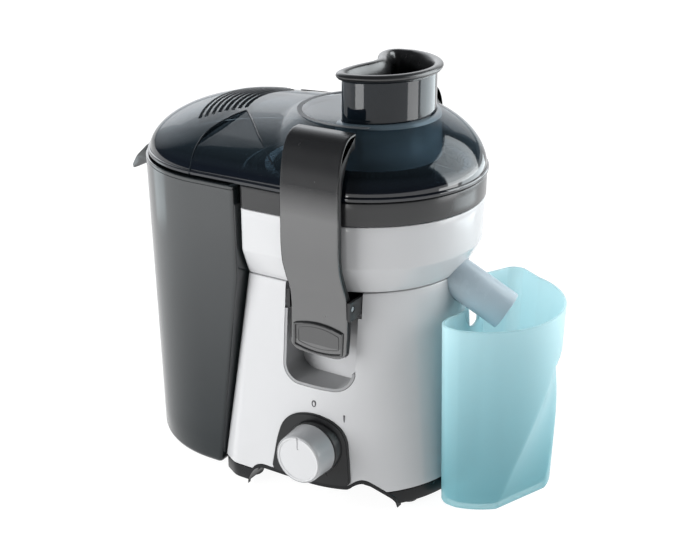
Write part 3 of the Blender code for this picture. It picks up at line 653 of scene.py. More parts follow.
def cup_outline(z, inset=0.0):
    """Round away from the base, with a pouring corner at the back and a hollow for the base."""
    taper = CUP_NARROW + 0.08 * z / CUP_RIM_Z
    points = arc(87.5, 19, CUP_R, CUP_R, -78, 70, 72)
    points += arc(88.5, 80.5, CUP_CORNER, CUP_CORNER, 62, 165, 14)
    points += arc(0, 0, CUP_HOLLOW, CUP_HOLLOW, 42, -18, 24)
    points += arc(95, -33, CUP_CORNER, CUP_CORNER, 185, 265, 12)
    tapered = [(CUP_X + (x - CUP_X) * taper, CUP_Y + (y - CUP_Y) * taper) for x, y in points]
    grip = min(1.0, max(0.0, (GRIP_TOP + GRIP_FADE - z) / GRIP_FADE))
    if grip == 0.0:
        return grown(tapered, -inset)
    # flat grip on the outer side, turning towards the front as it goes down
    angle = math.radians(GRIP_TWIST * (min(z, GRIP_TOP) / GRIP_TOP) ** 1.3 - GRIP_START)
    normal = Vector((math.cos(angle), math.sin(angle)))
    limit = max(Vector(p).dot(normal) for p in tapered) - GRIP_DEPTH * grip
    flat = []
    for x, y in tapered:
        over = max(0.0, Vector((x, y)).dot(normal) - limit)
        flat.append((x - normal.x * over, y - normal.y * over))
    return grown(flat, -inset)


# --- the motor base ---
def arches(raised):
    """Edge of the base between its feet: two arches and a straight part."""
    edge = [(-54, 0), (-52.5, 4.5), (-50, 11), (-46, 16.6), (-40, 19.4), (34, 19.0), (37.5, 22.4),
            (42, 24.4), (46, 23.6), (50, 20.6), (56, 15.2), (62, 9), (66, 0)]
    return [(x, z + raised if z > 4 else z - 5) for x, z in soft_line(edge, 3.0, 3)]


def base_plate():
    def edge(_, inset):
        sides = [size - PLINTH_INSET - inset for size in (BASE_A, BASE_B, BASE_EAR)]
        return body_outline(*sides, BULGE_R - 3 - inset, (14.0, 8.0))
    plate = standing(edge, span("base_plate")[0].z, PLINTH_Z - GAP, 6.0, 0.8)
    plate = cut(plate, stack(edge, [(8.5, 9.4), (30, 9.4)]))
    for side in (-1, 1):
        lip = combine(prism(arches(3.0), side * 56.0, side * 120.0), housing_core(0.1, 2, 40),
                      "INTERSECT")
        plate = combine(plate, cut(lip, housing_core(3.4, 1, 45)), "UNION")
        plate = cut(plate, prism(arches(0.0), side * 50.0, side * 120.0))
    ledge = block((-128, -34, 4.0), (-72, 34, BIN_FLOOR - GAP), 0.6)
    plate = combine(plate, ledge, "UNION")
    for k in range(5):      # cooling slots under the motor
        plate = cut(plate, block((-34, -22 + 10 * k, 0), (34, -18 + 10 * k, 12)))
    for k in range(1, 5):
        well = [(0, 0), (4.0, 0), (4.0, 7.4), (0, 7.4)]
        plate = cut(plate, revolve(well, 24, mid(*span(f"base_screw_{k}"))))
    piece("plinth", plate, "dark_plastic", "base", ["base_plate"], finish=PLINTH_DARK)


def feet():
    for name in ("front_left", "front_right", "rear_left", "rear_right"):
        low, high = span(f"foot_{name}")
        radius = (high.x - low.x) / 2
        top = high.z - low.z
        rings = [(0, 0.4), (radius - 4.4, 0.4), (radius - 4.0, 0), (radius - 1.2, 0),
                 (radius - 0.4, 0.4), (radius, 1.2), (radius, top), (0, top)]
        piece(f"{name}_pad", revolve(rings, 40, mid(low, high)), "rubber", "base",
              [f"foot_{name}"])


def on_spout(share):
    """A point on the spout's line: 0 is its root and 1 its tip."""
    return SPOUT_ROOT.lerp(SPOUT_TIP, share)


def spout_hole():
    return bar(on_spout(-0.03), on_spout(1.4), SPOUT_R + GAP)


def motor_housing():
    top = SEAM_Z - GAP
    shell = standing(housing_outline, PLINTH_Z, top, 7.0, 0.7)
    room = housing_core(WALL, PLINTH_Z - 5, 70, 122, top - WALL)
    for turn in (0, 180):       # the recesses keep walls of their own inside the shell
        pocket = prism(well_outline(-WALL), -130.0, -(WELL_FLOOR - WALL))
        room = cut(room, turned(pocket, turn))
    shell = cut(shell, room)
    for turn in (0, 180):
        shell = cut(shell, turned(prism(well_outline(), -130.0, -WELL_FLOOR), turn))
    for side in (-1, 1):
        shell = cut(shell, prism(arches(3.0 + GAP), side * 54.0, side * 120.0))
    shell = cut(shell, bar((0, 0, 160), (0, 0, 190), 17.0), spout_hole(),
                bar(at_knob(-70), at_knob(-110), 6.0),
                bar((INLET_X, 70, INLET_Z), (INLET_X, 110, INLET_Z), 7.6 + GAP))
    for k in range(6):          # air slots at the back
        z = 62.0 + 5.2 * k
        shell = cut(shell, block((-32 + 1.2 * k, 70, z), (22 - 1.2 * k, 110, z + 2.4)))
    piece("housing_shell", shell, "white_plastic", "base", ["motor_housing"])


def latch_liners():
    """The grey liner of each recess: its left side, floor and lower right corner."""
    for name, turn in (("front", 0), ("rear", 180)):
        ring = combine(prism(well_outline(GAP), -120.0, -(WELL_FLOOR + GAP)),
                       housing_core(0.12, 60, LUG_Z - 1.0), "INTERSECT")
        open_side = WELL_X[1] + 5.0
        hole = [p for p in well_outline(2.4) if p[1] < 112.0]
        hole += [(WELL_X[1] - 2.4, 112.0), (open_side, 113.5), (open_side, 200.0),
                 (WELL_X[0] + 2.4, 200.0)]
        liner = cut(ring, prism(hole, -130.0, -40.0))
        # its finish is painted light, lifting the shade in the recess
        piece(f"{name}_recess_liner", turned(liner, turn), "grey_plastic", "base",
              [f"{name}_latch_trim"], finish=LINER_PAINTED_LIGHT)


def panel_outline():
    foot = 22.6
    outline = [(-29.5, foot), (36.0, foot), (34.0, 45.0), (32.2, 60.0), (28.0, 68.6),
               (20.0, 74.6), (10.0, 77.2), (2.0, 77.2), (-8.0, 74.8), (-16.5, 69.6),
               (-22.0, 62.0), (-25.6, 49.0)]
    return rounded(outline, 5.0, 4)


def control_panel():
    """The dark arched boss behind the knob, following the curve of the housing."""
    layers = []
    for outline, rise in ((panel_outline(), 1.2), (grown(panel_outline(), -0.9), 2.0)):
        face = housing_core(-rise, PLINTH_Z - 4, SEAM_Z - 60)
        layers.append(combine(prism(outline, -120.0, -60.0), face, "INTERSECT"))
    panel = combine(*layers, "UNION")
    pedestal = bar(at_knob(-80), at_knob(-PANEL_Y), KNOB_R + 2.0, 64, edge=0.8)
    panel = combine(panel, pedestal, "UNION")
    panel = cut(panel, housing_core(-0.1, PLINTH_Z - 6, SEAM_Z - 50),
                bar(at_knob(-70), at_knob(-120), 5.0))
    piece("dial_panel", panel, "dark_plastic", "base", ["control_panel"], finish=PANEL_DARK)


def dial_marks():
    """An open ring for off and a bar for on, printed on the housing."""
    low, high = span("dial_mark_off")
    x, _, z = mid(low, high)
    wide, tall = (high.x - low.x) / 2, (high.z - low.z) / 2
    face, back = -(housing_front(x, z) + 0.25), -(housing_front(x, z) - 0.6)
    sections = []
    for thin, y in ((0, back), (0, face), (0.75, face), (0.75, back)):
        ring = arc(x, z, wide - thin, tall - thin, 0, 360, 32)[:-1]
        sections.append([(px, y, pz) for px, pz in ring])
    piece("off_mark", loft(sections, closed=True), "ink", "base", ["dial_mark_off"])
    low, high = span("dial_mark_on")
    x, _, z = mid(low, high)
    front = -housing_front(x, z)
    bar_mark = block((low.x, front - 0.25, low.z), (high.x, front + 0.9, high.z), 0.1)
    piece("on_mark", bar_mark, "ink", "base", ["dial_mark_on"])


def speed_knob():
    """A round knob: a skirt in a darker white, painted shade on its rim and side, and a bright
    face with a raised ring and a pointer groove.
    """
    depth = KNOB_Y - KNOB_BACK
    seat = KNOB_R - 1.0
    skirt = [(0, 1.2), (seat, 1.2), (seat + 0.1, 0.5), (KNOB_R - 0.4, 0.6), (KNOB_R, 1.4)]
    skirt += [(KNOB_R + 0.9 * k / 6, 1.4 + (depth - 2.0) * k / 6) for k in range(1, 7)]
    skirt += [(KNOB_R + 1.0, depth), (0, depth)]
    face = [(0, 0.6), (seat - 2.2, 0.6), (seat - 1.7, 0.15), (seat - 1.2, 0.0), (seat - 0.5, 0.1),
            (seat - 0.1, 0.6), (seat - 0.1, 1.3), (0, 1.3)]
    turn = Matrix.Rotation(math.radians(-90), 4, "X")
    turn = Matrix.Translation(at_knob(-KNOB_Y)) @ turn
    shaft = bar(at_knob(-KNOB_BACK - 8), at_knob(-60), 3.4, 24)
    knob = cut(moved(revolve(skirt, 96), turn), shaft)
    groove = block((KNOB_X - 0.8, -KNOB_Y - 2, KNOB_Z + 8.5),
                   (KNOB_X + 0.8, -KNOB_Y + 1.1, KNOB_Z + KNOB_R + 3))
    piece("dial_face", cut(moved(revolve(face, 96), turn), groove), "white_plastic", "knob")
    piece("dial_knob", knob, "white_plastic", "knob", ["speed_knob"], finish=KNOB_PAINTED_SHADE)


# --- bowl, basket and spout ---
def bowl_size(z):
    """Half width, half depth and ear of the bowl at a height: a shoulder under a band."""
    levels = ((SEAM_Z + GAP, 77.0, 78.5, 57.0), (193.0, 86.6, 86.6, 56.0),
              (196.0, 88.0, 88.0, 55.5), (COLLAR_Z - GAP, RIM - 1.4, RIM - 1.4, 55.0))
    for low, high in zip(levels, levels[1:]):
        if z <= high[0] + 0.01:
            share = (z - low[0]) / (high[0] - low[0])
            return [a + (b - a) * share for a, b in zip(low[1:], high[1:])]
    return levels[-1][1:]


def bowl_outline(z, inset=0.0):
    half_width, half_depth, ear = bowl_size(z)
    bulge = BULGE_R - (6.0 if z < 190 else 0.0)
    return body_outline(half_width - inset, half_depth - inset, ear - inset, bulge - inset,
                        (3.0, 2.0))


def juice_bowl():
    low, high = SEAM_Z + GAP, COLLAR_Z - GAP
    sides = (low + 0.9, 180.0, 186.0, 192.4, 193.4, 194.6, 195.6, 196.6, 204.0, 212.0, 220.0,
             high - 0.7)
    rows = [(low, 0.8), (low + 0.25, 0.25)] + [(z, 0.0) for z in sides]
    rows += [(high - 0.2, 0.2), (high, 0.7)]
    room = [(0, 190), (20, 190), (20, 178.5), (66, 178.5), (69.5, 180), (79, 196), (82, 240),
            (0, 240)]
    bowl = cut(stack(bowl_outline, rows), revolve(room, 96), bar((0, 0, 165), (0, 0, 200), 15.5),
               spout_hole(), bar(on_spout(-0.45), on_spout(0.2), SPOUT_R - 3.0))
    piece("bowl_body", bowl, "white_plastic", "base", ["juice_bowl"])


def bowl_collar():
    def ring(_, inset):
        size = RIM - 1.2 - inset
        return body_outline(size, size, 55.0 - inset, BULGE_R - inset, (3.0, 2.0))
    band = standing(ring, COLLAR_Z, COLLAR[1].z, 5.0, 0.7)
    band = cut(band, bar((0, 0, 200), (0, 0, 260), 82.0, 96))
    piece("collar_band", band, "grey_plastic", "base", ["bowl_collar"], finish=COLLAR_BAND)


def juice_spout():
    length = (SPOUT_TIP - SPOUT_ROOT).length
    bore = SPOUT_R - SPOUT_WALL
    profile = [(bore, 0), (SPOUT_R, 0), (SPOUT_R, length - 0.9), (SPOUT_R - 0.3, length - 0.25),
               (SPOUT_R - 0.9, length), (bore + 0.7, length), (bore, length - 0.6)]
    tube = moved(revolve(profile, 72), towards(SPOUT_ROOT, SPOUT_TIP))
    piece("spout_tube", tube, "spout_clear", "base", ["juice_spout"])


def perforated_wall():
    """The basket's cone, pierced by rows of small holes."""
    low, high = BASKET[0].z + 2.0, BASKET[1].z - 4.0
    rows, around = 16, 132
    foot_r, flare = 44.0, 27.0
    web, thickness = 0.42, 0.4
    bm = bmesh.new()
    rings = []
    for k in range(rows + 1):
        share = k / rows
        radius = foot_r + flare * share
        shift = 0.5 * (k % 2)
        rings.append([bm.verts.new((radius * math.cos(math.tau * (i + shift) / around),
                                    radius * math.sin(math.tau * (i + shift) / around),
                                    low + (high - low) * share)) for i in range(around)])
    cells = []
    for k in range(rows):
        for i in range(around):
            j = (i + 1) % around
            cells.append(bm.faces.new((rings[k][i], rings[k][j], rings[k + 1][j],
                                       rings[k + 1][i])))
    bmesh.ops.inset_individual(bm, faces=cells, thickness=web, depth=0.0)
    bmesh.ops.delete(bm, geom=cells, context="FACES")
    bmesh.ops.solidify(bm, geom=bm.faces[:], thickness=thickness)
    return bm


def basket():
    low, high = BASKET[0].z, BASKET[1].z
    foot = revolve([(41.5, low), (44.6, low), (45.6, low + 2.8), (44.4, low + 3.2),
                    (43.4, low + 1.4), (41.5, low + 1.4)], 96)
    rim = revolve([(70.2, high - 5.0), (71.4, high - 5.2), (72.6, high - 1.9), (76.4, high - 1.5),
                   (77.0, high - 0.9), (76.6, high - 0.2), (71.6, high), (70.6, high - 0.8)], 96)
    piece("filter_cone", merged(perforated_wall(), foot, rim), "steel", "drive",
          ["filter_basket"])
    low, high = span("basket_hub")
    hub = revolve([(14, low.z), (18.4, low.z), (19, low.z + 0.6), (22, 194.2), (40.6, 194.2),
                   (41.2, 194.6), (41.2, high.z - 0.2), (40.8, high.z), (0, high.z), (0, 194),
                   (14, 194)], 72)
    piece("basket_carrier", hub, "grey_plastic", "drive", ["basket_hub"])
    low, high = span("grater_disc")
    radius = (high.x - low.x) / 2
    disc = revolve([(0, low.z), (radius, low.z), (radius, high.z - 0.3), (radius - 0.3, high.z),
                    (9.5, high.z), (8.0, high.z - 0.6), (0, high.z - 0.6)], 72)
    teeth = [disc]
    for ring in range(5):
        count = 10 + 6 * ring
        for i in range(count):
            turn = math.tau * (i + 0.37 * ring) / count
            reach = 13.0 + 6.2 * ring
            tooth = bmesh.new()
            bmesh.ops.create_cone(tooth, cap_ends=True, segments=6, radius1=1.5, radius2=0.2,
                                  depth=1.9)
            lean = Matrix.Rotation(turn, 4, "Z") @ Matrix.Translation((reach, 0, high.z + 0.75))
            teeth.append(moved(tooth, lean @ Matrix.Rotation(0.5, 4, "X")))
    piece("grater_plate", merged(*teeth), "steel", "drive", ["grater_disc"])


# --- lid, chute and pusher ---
PULP_RISE, PULP_FALL = 46.5, 5.5        # height of the lid's ridge and its drop to the far end
WINDOW = ((-83.2, 36.5), (-87.8, 44.5), (-91.8, 53.0), (-95.8, 62.0), (-98.2, 71.0),
          (-98.4, 82.0), (-97.8, 90.0), (-97.8, 112.0), (8.0, 112.0), (-19.7, 88.9),
          (-29.1, 82.5), (-51.3, 66.5), (-68.0, 50.8))
WINDOW_RISE, WINDOW_ALONG, WINDOW_ACROSS = 58.5, 0.06, 0.427    # its height and slopes
BOWL_RISE = 54.0
FLANGE = 1.2                            # how far the lid's foot stands out
NARROW = 1 - FLANGE / RIM


def on_ridge(x):
    """The nearest point of the long dome's ridge."""
    return min(0.0, max(BIN_X, x))


def pulp_rise(x, y):
    """Height of the long dome over the container, above the lid's rim."""
    ridge = on_ridge(x)
    across = min(1.0, math.hypot(x - ridge, y) / RIM)
    return (PULP_RISE - PULP_FALL * ridge / BIN_X) * math.sqrt(1 - across * across)


def window_rise(x, y):
    """Height of the flat window's plane above the rim."""
    return WINDOW_RISE + WINDOW_ALONG * x - WINDOW_ACROSS * abs(y)


def long_dome(inset, floor):
    """The dome that runs from the bowl to the far end of the container."""
    flat = [BIN_X * k / 16 for k in range(1, 16)]
    outline = (arc(0, 0, RIM, RIM, -90, 90, 48) + [(x, RIM) for x in flat]
               + arc(BIN_X, 0, RIM, RIM, 90, 270, 64) + [(x, -RIM) for x in reversed(flat)])
    narrow = 1.0 - (inset + FLANGE) / RIM
    foot = [(on_ridge(x) + (x - on_ridge(x)) * narrow, y * narrow) for x, y in outline]
    sections = [at_height(foot, floor)]
    steps = 22
    for k in range(steps + 1):
        tilt = math.pi / 2 * k / steps
        reach, lift = math.cos(tilt), math.sin(tilt)
        ring = []
        for x, y in outline:
            ridge = on_ridge(x)
            height = (PULP_RISE - inset - PULP_FALL * ridge / BIN_X) * lift
            ring.append((ridge + (x - ridge) * reach * narrow, y * reach * narrow,
                         max(floor + 0.5, DOME_Z + height)))
        sections.append(ring)
    bm = loft(sections)
    bmesh.ops.remove_doubles(bm, verts=bm.verts, dist=0.004)
    return bm


def bowl_dome(inset, floor):
    """The rounder dome over the bowl, with its flat top."""
    radius = RIM - FLANGE - inset
    rise = BOWL_RISE - inset
    top = PLATEAU_RISE - inset
    last = math.asin(top / rise)
    profile = [(0, floor), (radius, floor)]
    for k in range(25):
        tilt = last * k / 24
        profile.append((radius * math.cos(tilt), DOME_Z + rise * math.sin(tilt)))
    profile.append((0, DOME_Z + top))
    return revolve(profile, 144)


def lid_form(inset, floor):
    """Outer or inner form of the lid, without its flange."""
    top = PLATEAU_Z + LID_STEP - inset
    form = long_dome(inset, floor)
    for side in (-1, 1):
        plan = [(x, side * y) for x, y in grown(WINDOW, -inset)]
        pane = [(x, y, DOME_Z + window_rise(x, y) - inset) for x, y in plan]
        form = cut(form, loft([pane, at_height(plan, top + 60)]))
    form = cut(form, block((-260, -120, top), (120, 120, top + 60)))
    return combine(form, bowl_dome(inset, floor), "UNION")


def lid_shell():
    shell = cut(lid_form(0.0, RIM_Z + 0.6), lid_form(LID_WALL, RIM_Z - 6.0),
                chute_stack([(0.3, 210.0), (0.3, CHUTE_Z + 10)]))
    piece("lid_dome", shell, "smoke_clear", "lid", ["lid"], sharp=28.0)


def stadium(size):
    """Plan of the lid's foot."""
    return arc(0, 0, size, size, -90, 90, 64) + arc(BIN_X, 0, size, size, 90, 270, 64)


def lid_flange():
    """The foot of the lid: a rounded band with a thin dark gap over the collar."""
    low, high = RIM_Z, RIM_Z + 3.4
    outer, inner = RIM, RIM - 4.0
    rows = [(inner, low), (outer - 0.7, low), (outer - 0.2, low + 0.2), (outer, low + 0.7),
            (outer, high - 1.0), (outer - 0.3, high - 0.3), (outer - 1.0, high), (inner, high)]
    ring = loft([at_height(stadium(size), z) for size, z in rows], closed=True)
    piece("lid_flange", ring, "smoke_clear", "lid")


def ribbon(points, radius, sides=8):
    """A round bead along points."""
    sections = []
    for i, here in enumerate(points):
        here = Vector(here)
        ahead = Vector(points[min(i + 1, len(points) - 1)])
        behind = Vector(points[max(i - 1, 0)])
        along = (ahead - behind).normalized()
        side = along.cross(Vector((0, 0, 1))).normalized()
        up = side.cross(along)
        sections.append([tuple(here + side * radius * math.cos(math.tau * k / sides)
                               + up * radius * math.sin(math.tau * k / sides))
                         for k in range(sides)])
    return loft(sections)


def on_long_dome(x, y, lift=0.0):
    return (x, y, DOME_Z + pulp_rise(x / NARROW, y / NARROW) + lift)


def lid_windows():
    """Beads round the flat windows of the lid."""
    outline = soft_line(WINDOW[10:] + WINDOW[:7], 3.0)
    for name, side in (("front", -1), ("rear", 1)):
        bead = ribbon([on_long_dome(x, side * y, 0.1) for x, y in outline], 0.6)
        piece(f"{name}_window_edge", bead, "smoke_clear", "lid", finish=SMOKY_EDGE)


ARC_COUNT, ARC_R, ARC_PITCH = 8, 93.0, 4.8
ARC_REACH, ARC_WIDENING = 20.0, 0.75    # degrees to either side: the first arc, and each next
TOOTH = 0.55                            # degrees


def grip_arcs():
    """Serrated arcs about the motor axis, on the container side of the lid."""
    beads = []
    for k in range(ARC_COUNT):
        radius = ARC_R + ARC_PITCH * k
        reach = ARC_REACH + ARC_WIDENING * k
        steps = 2 * round(reach / TOOTH)
        sections = []
        for i in range(-steps // 2, steps // 2 + 1):
            turn = math.radians(180 + 2 * reach * i / steps)
            tall = 0.9 if i % 2 else 0.2
            across = ((-1.35, -0.8), (-1.3, tall * 0.6), (0.0, tall), (1.3, tall * 0.6),
                      (1.35, -0.8))
            sections.append([on_long_dome((radius + off) * math.cos(turn),
                                          (radius + off) * math.sin(turn), lift)
                             for off, lift in across])
        beads.append(loft(sections))
    piece("lid_grip_arcs", merged(*beads), "smoke_clear", "lid", finish=SMOKY_EDGE, sharp=20.0)


def plateau_ring():
    """The fine ring round the flat top of the lid."""
    centre, radius = (5.4, 0.0), 55.0
    top = PLATEAU_Z + LID_STEP
    foot, crest = 1.9, 1.7
    profile = [(radius - foot, top - 0.4), (radius - crest, top + 0.1),
               (radius + crest, top + 0.1), (radius + foot, top - 0.4)]
    ring = cut(revolve(profile, 144, centre), chute_stack([(1.0, 280), (1.0, 300)]),
               block((30, -80, 270), (80, 80, 300)))
    piece("lid_plateau_ring", ring, "smoke_clear", "lid", finish=RING_GREY)


def feed_chute():
    """The chute's tube, and the wider boss that carries it."""
    seat = PLATEAU_Z + 0.6
    outside = [(0.0, z) for z in (TUBE_Z, 250.0, seat, CHUTE_Z - 1.2, CHUTE_Z - 0.8)]
    outside += [(-0.25, CHUTE_Z - 0.2), (-0.8, CHUTE_Z)]
    inside = [(-2.0, CHUTE_Z), (-CHUTE_WALL, CHUTE_Z - 0.6), (-CHUTE_WALL, TUBE_Z)]
    piece("chute_tube", chute_stack(outside + inside, closed=True), "smoke_clear", "lid",
          finish=CHUTE_CLEAR)
    rows = [(0.3, 257.0), (5.2, 257.0), (4.9, 264.0), (4.6, 275.0), (4.3, seat - 4.0),
            (3.9, seat - 2.2), (3.0, seat - 0.9), (1.8, seat - 0.3), (0.9, seat - 0.2),
            (0.6, seat - 0.5), (0.3, seat - 0.6)]
    # the boss's near-white finish is painted light
    piece("chute_boss", chute_stack(rows, closed=True), "smoke_clear", "lid",
          finish=BOSS_PAINTED_LIGHT)


def food_pusher():
    """Hollow plunger with a rounded flange that rests on the chute's mouth."""
    rest, top = PUSHER[1].z - 5.0, PUSHER[1].z
    rows = [(-5.2, 212.6), (-3.9, 212.0), (-3.2, 213.0), (-3.2, 260.0), (-3.2, rest + 0.6),
            (2.6, rest)]
    for k in range(13):
        tilt = math.radians(-60 + 215 * k / 12)
        rows.append((0.7 + 3.5 * math.cos(tilt), top - 2.5 + 2.5 * math.sin(tilt)))
    rows += [(-3.4, rest + 1.6), (-5.0, rest - 4.0), (-5.4, rest - 8.0), (-5.4, 214.5)]
    piece("pusher_body", chute_stack(rows), "grey_plastic", "pusher", ["food_pusher"],
          finish=PUSHER_GREY)


# --- container and cup ---
def pulp_container():
    rim = CONTAINER[1].z
    rows = [(BIN_FLOOR, 6.0), (BIN_FLOOR + 0.5, 3.4), (BIN_FLOOR + 1.6, 1.4),
            (BIN_FLOOR + 3.2, 0.4), (BIN_FLOOR + 5.0, 0.0)]
    rows += [(z, 0.0) for z in (30.0, 60.0, 90.0, 120.0, 150.0, SEAM_Z, 200.0, 225.0)]
    rows += [(rim - 3.4, 0.0), (rim - 3.1, 0.5), (rim - 2.5, 0.5), (rim - 2.2, 0.0),
             (rim - 0.6, 0.0), (rim - 0.15, 0.2), (rim, 0.7), (rim, 1.6)]
    rows += [(z, BIN_WALL) for z in (rim - 0.5, SEAM_Z, 90.0, BIN_FLOOR + 7.0)]
    rows += [(BIN_FLOOR + 3.2, 4.0), (BIN_FLOOR + 2.2, 7.0)]
    wall = stack(bin_outline, rows)
    end = BIN_X - BIN_R
    side = [(1.6, 1.0), (-12, 8), (-26, 20), (-32, 29), (-31, 32), (-26, 30), (-14, 24), (1.6, 22)]
    side = rounded([(end + out, rim - drop) for out, drop in side], 3.0, 3)
    rows = [(-21.0, 1.0), (-20.6, 0.35), (-19.8, 0.0), (19.8, 0.0), (20.6, 0.35), (21.0, 1.0)]
    beak = loft([[(x, y * (1 - 0.25 * max(0.0, end - x) / 32), z)
                  for x, z in grown(side, -inset)] for y, inset in rows])
    piece("container_body", combine(wall, beak, "UNION"), "smoke_grey", "container",
          ["pulp_container"])


def juice_cup():
    heights = [3.0 + 4.0 * k for k in range(26)]
    heights += [GRIP_TOP, GRIP_TOP + 2.3, GRIP_TOP + 4.7, GRIP_TOP + GRIP_FADE]
    heights += [122.0, 132.0, 142.0]
    outside = [(4.5, 0.0), (2.4, 0.3), (0.9, 1.2), (0.0, 3.0)]
    outside += [(0.0, z) for z in heights[1:]]
    outside += [(0.0, CUP_RIM_Z - 0.8), (0.3, CUP_RIM_Z - 0.2), (1.0, CUP_RIM_Z)]
    inside = [(1.7, CUP_RIM_Z - 0.2), (CUP_WALL, CUP_RIM_Z - 0.8)]
    inside += [(CUP_WALL, z) for z in reversed(heights[2:])]
    inside += [(2.6, 6.0), (4.0, 4.2), (6.5, 3.4)]
    cup = stack(cup_outline, [(z, inset) for inset, z in outside + inside])
    # a round notch in the side next to the base clears the spout
    middle = -SPOUT_ROOT.x * math.sin(SPOUT_TURN) + SPOUT_ROOT.y * math.cos(SPOUT_TURN)
    half, foot, above = 16.5, 148.0, 170.0
    notch = [(middle - half, above)] + arc(middle, foot, half, 14.5, 180, 360, 32)
    notch = prism(notch + [(middle + half, above)], -110.0, -60.0)
    cup = cut(cup, turned(notch, 90 + math.degrees(SPOUT_TURN)))
    piece("cup_body", cup, "aqua_clear", "cup", ["juice_cup"], sharp=24.0)


# --- latches ---
STRAP_EDGE, STRAP_CORNER = 1.3, 8.0
STRAP_FOOT = 26.0                       # length of the strap's rounded lower end
STRAP_ARCH = 1.8                        # how far the middle of that end hangs down


def strap_side(front, back):
    """Side view of one layer of a strap, as (distance from the axis plane, height).

    The layer lies between two shares of the strap's thickness, 0 at its outer face.
    """
    outside = [(72.4, 292.0), (79.9, 291.6), (85.9, 288.5), (91.4, 281), (94.9, 268), (96.9, 252),
               (97.2, 212), (95.7, 198), (90.9, 184), (86.4, 174), (84.9, 160), (85.5, 140),
               (86.4, 126)]
    inside = [(72.4, 281.0), (79.4, 279.5), (83.9, 272.5), (88.5, 262), (90.7, 250), (90.7, 226),
              (90.7, 206), (89.3, 196), (84.2, 184), (78.9, 172), (77.9, 160), (78.5, 140),
              (80.4, 124.4)]
    def layer(share):
        return [tuple(Vector(o).lerp(Vector(i), share)) for o, i in zip(outside, inside)]
    return layer(front), list(reversed(layer(back)))


def strap_sections(low, high, layer, edge):
    """The strap's side view at stations across its width, drawn in at its edges and corners."""
    outside, inside = strap_side(*layer)
    outline = soft_line(outside, 6.0) + soft_line(inside, 4.0)
    end_z = min(z for _, z in outline)
    reaches = [0.0, 0.1, 0.25, 0.5, 0.8, 1.3, 2.2, 3.5, 5.2, 8.0, 14.0]
    stations = reaches + [high - low - r for r in reversed(reaches)]
    sections = []
    for station in stations:
        near = min(station, high - low - station)
        inset = edge - math.sqrt(max(0.0, edge ** 2 - max(0.0, edge - near) ** 2))
        lift = STRAP_CORNER - math.sqrt(STRAP_CORNER ** 2 - max(0.0, STRAP_CORNER - near) ** 2)
        lift = lift * 0.8 + STRAP_ARCH * (1 - 2 * near / (high - low)) ** 2
        ring = grown(outline, inset) if clockwise(outline) else grown(outline, -inset)
        section = []
        for distance, z in ring:
            pull = max(0.0, 1 - (z - end_z) / STRAP_FOOT)
            section.append((low + station, -distance, z + lift * pull))
        sections.append(section)
    return sections


def clockwise(outline):
    area = sum(x0 * y1 - x1 * y0 for (x0, y0), (x1, y1) in zip(outline, outline[1:] + outline[:1]))
    return area < 0


def badge_outline(offset):
    """A blank badge with arched top and bottom edges, about its own middle."""
    half, low, high = 21.0 + offset, 129.8 - offset, 147.6 + offset
    points = []
    for side, z, arch in ((-1, low, -2.6), (1, high, 3.4)):
        points += [(side * (half - 2 * half * k / 20), z + arch * (1 - (k / 10 - 1) ** 2))
                   for k in range(21)]
    return rounded(points, 2.2, 2)


def latch_badge(name, turn, arm):
    """A raised frame with a blank field inside."""
    def layers(*rows, closed=False):
        return loft([[(LATCH_X + x, -depth, z) for x, z in badge_outline(offset)]
                     for offset, depth in rows], closed=closed)
    rim = layers((0.0, 84.6), (0.0, 86.6), (-0.3, 87.1), (-0.8, 87.3), (-1.3, 87.1), (-1.7, 86.4),
                 (-1.9, 84.6), closed=True)
    field = layers((-1.6, 84.8), (-1.6, 85.9))
    line = layers((-3.6, 85.6), (-3.6, 86.2), (-4.2, 86.2), (-4.2, 85.6), closed=True)
    piece(f"{name}_badge", turned(merged(rim, field, line), turn), "grey_plastic", arm,
          [f"{name}_latch_plate"], sharp=40.0)


def latches():
    low, high = STRAP[0].x, STRAP[1].x
    for name, turn, arm in (("front", 0, "front_latch_arm"), ("rear", 180, "rear_latch_arm")):
        skin = loft(strap_sections(low, high, (0.0, 0.3), STRAP_EDGE))
        piece(f"{name}_strap", turned(skin, turn), "grey_plastic", arm, [f"{name}_latch"],
              finish=STRAP_SKIN)
        # the inner layer's near-black finish paints the shade on the strap's sides
        liner = loft(strap_sections(low + 0.5, high - 0.5, (0.27, 1.0), 0.8))
        piece(f"{name}_strap_liner_painted_shade", turned(liner, turn), "dark_plastic", arm, finish=STRAP_CORE_PAINTED_SHADE)
        latch_badge(name, turn, arm)


# --- CAD nodes that keep their own shape ---
def finish_cad_nodes():
    """Nodes that stay as packed get the same materials, by their record slot's name."""
    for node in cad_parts.values():
        if node.hide_render:
            continue
        for slot in node.material_slots:
            key = slot.material.name.split(".")[0]
            if key in FINISHES:
                slot.material = FINISHES[key]
        node.data.shade_smooth()
        node.data.set_sharp_from_angle(angle=math.radians(32.0))


# --- stage ---
VIEW_AZIMUTH, VIEW_ELEVATION = 31.5, 22.3
VIEW_TARGET = Vector((-15.66, 0.0, 149.31))
VIEW_DISTANCE = 977.94
SENSOR, FOCAL_LENGTH = 36.0, 64.29      # millimetres


def aimed(name, data, place, direction):
    """An object in the shared frame that looks along a direction."""
    made = placed(name, data)
    made.location = AXIS + Vector(place) * MM
    made.rotation_mode = "QUATERNION"
    made.rotation_quaternion = direction.to_track_quat("-Z", "Y")
    return made


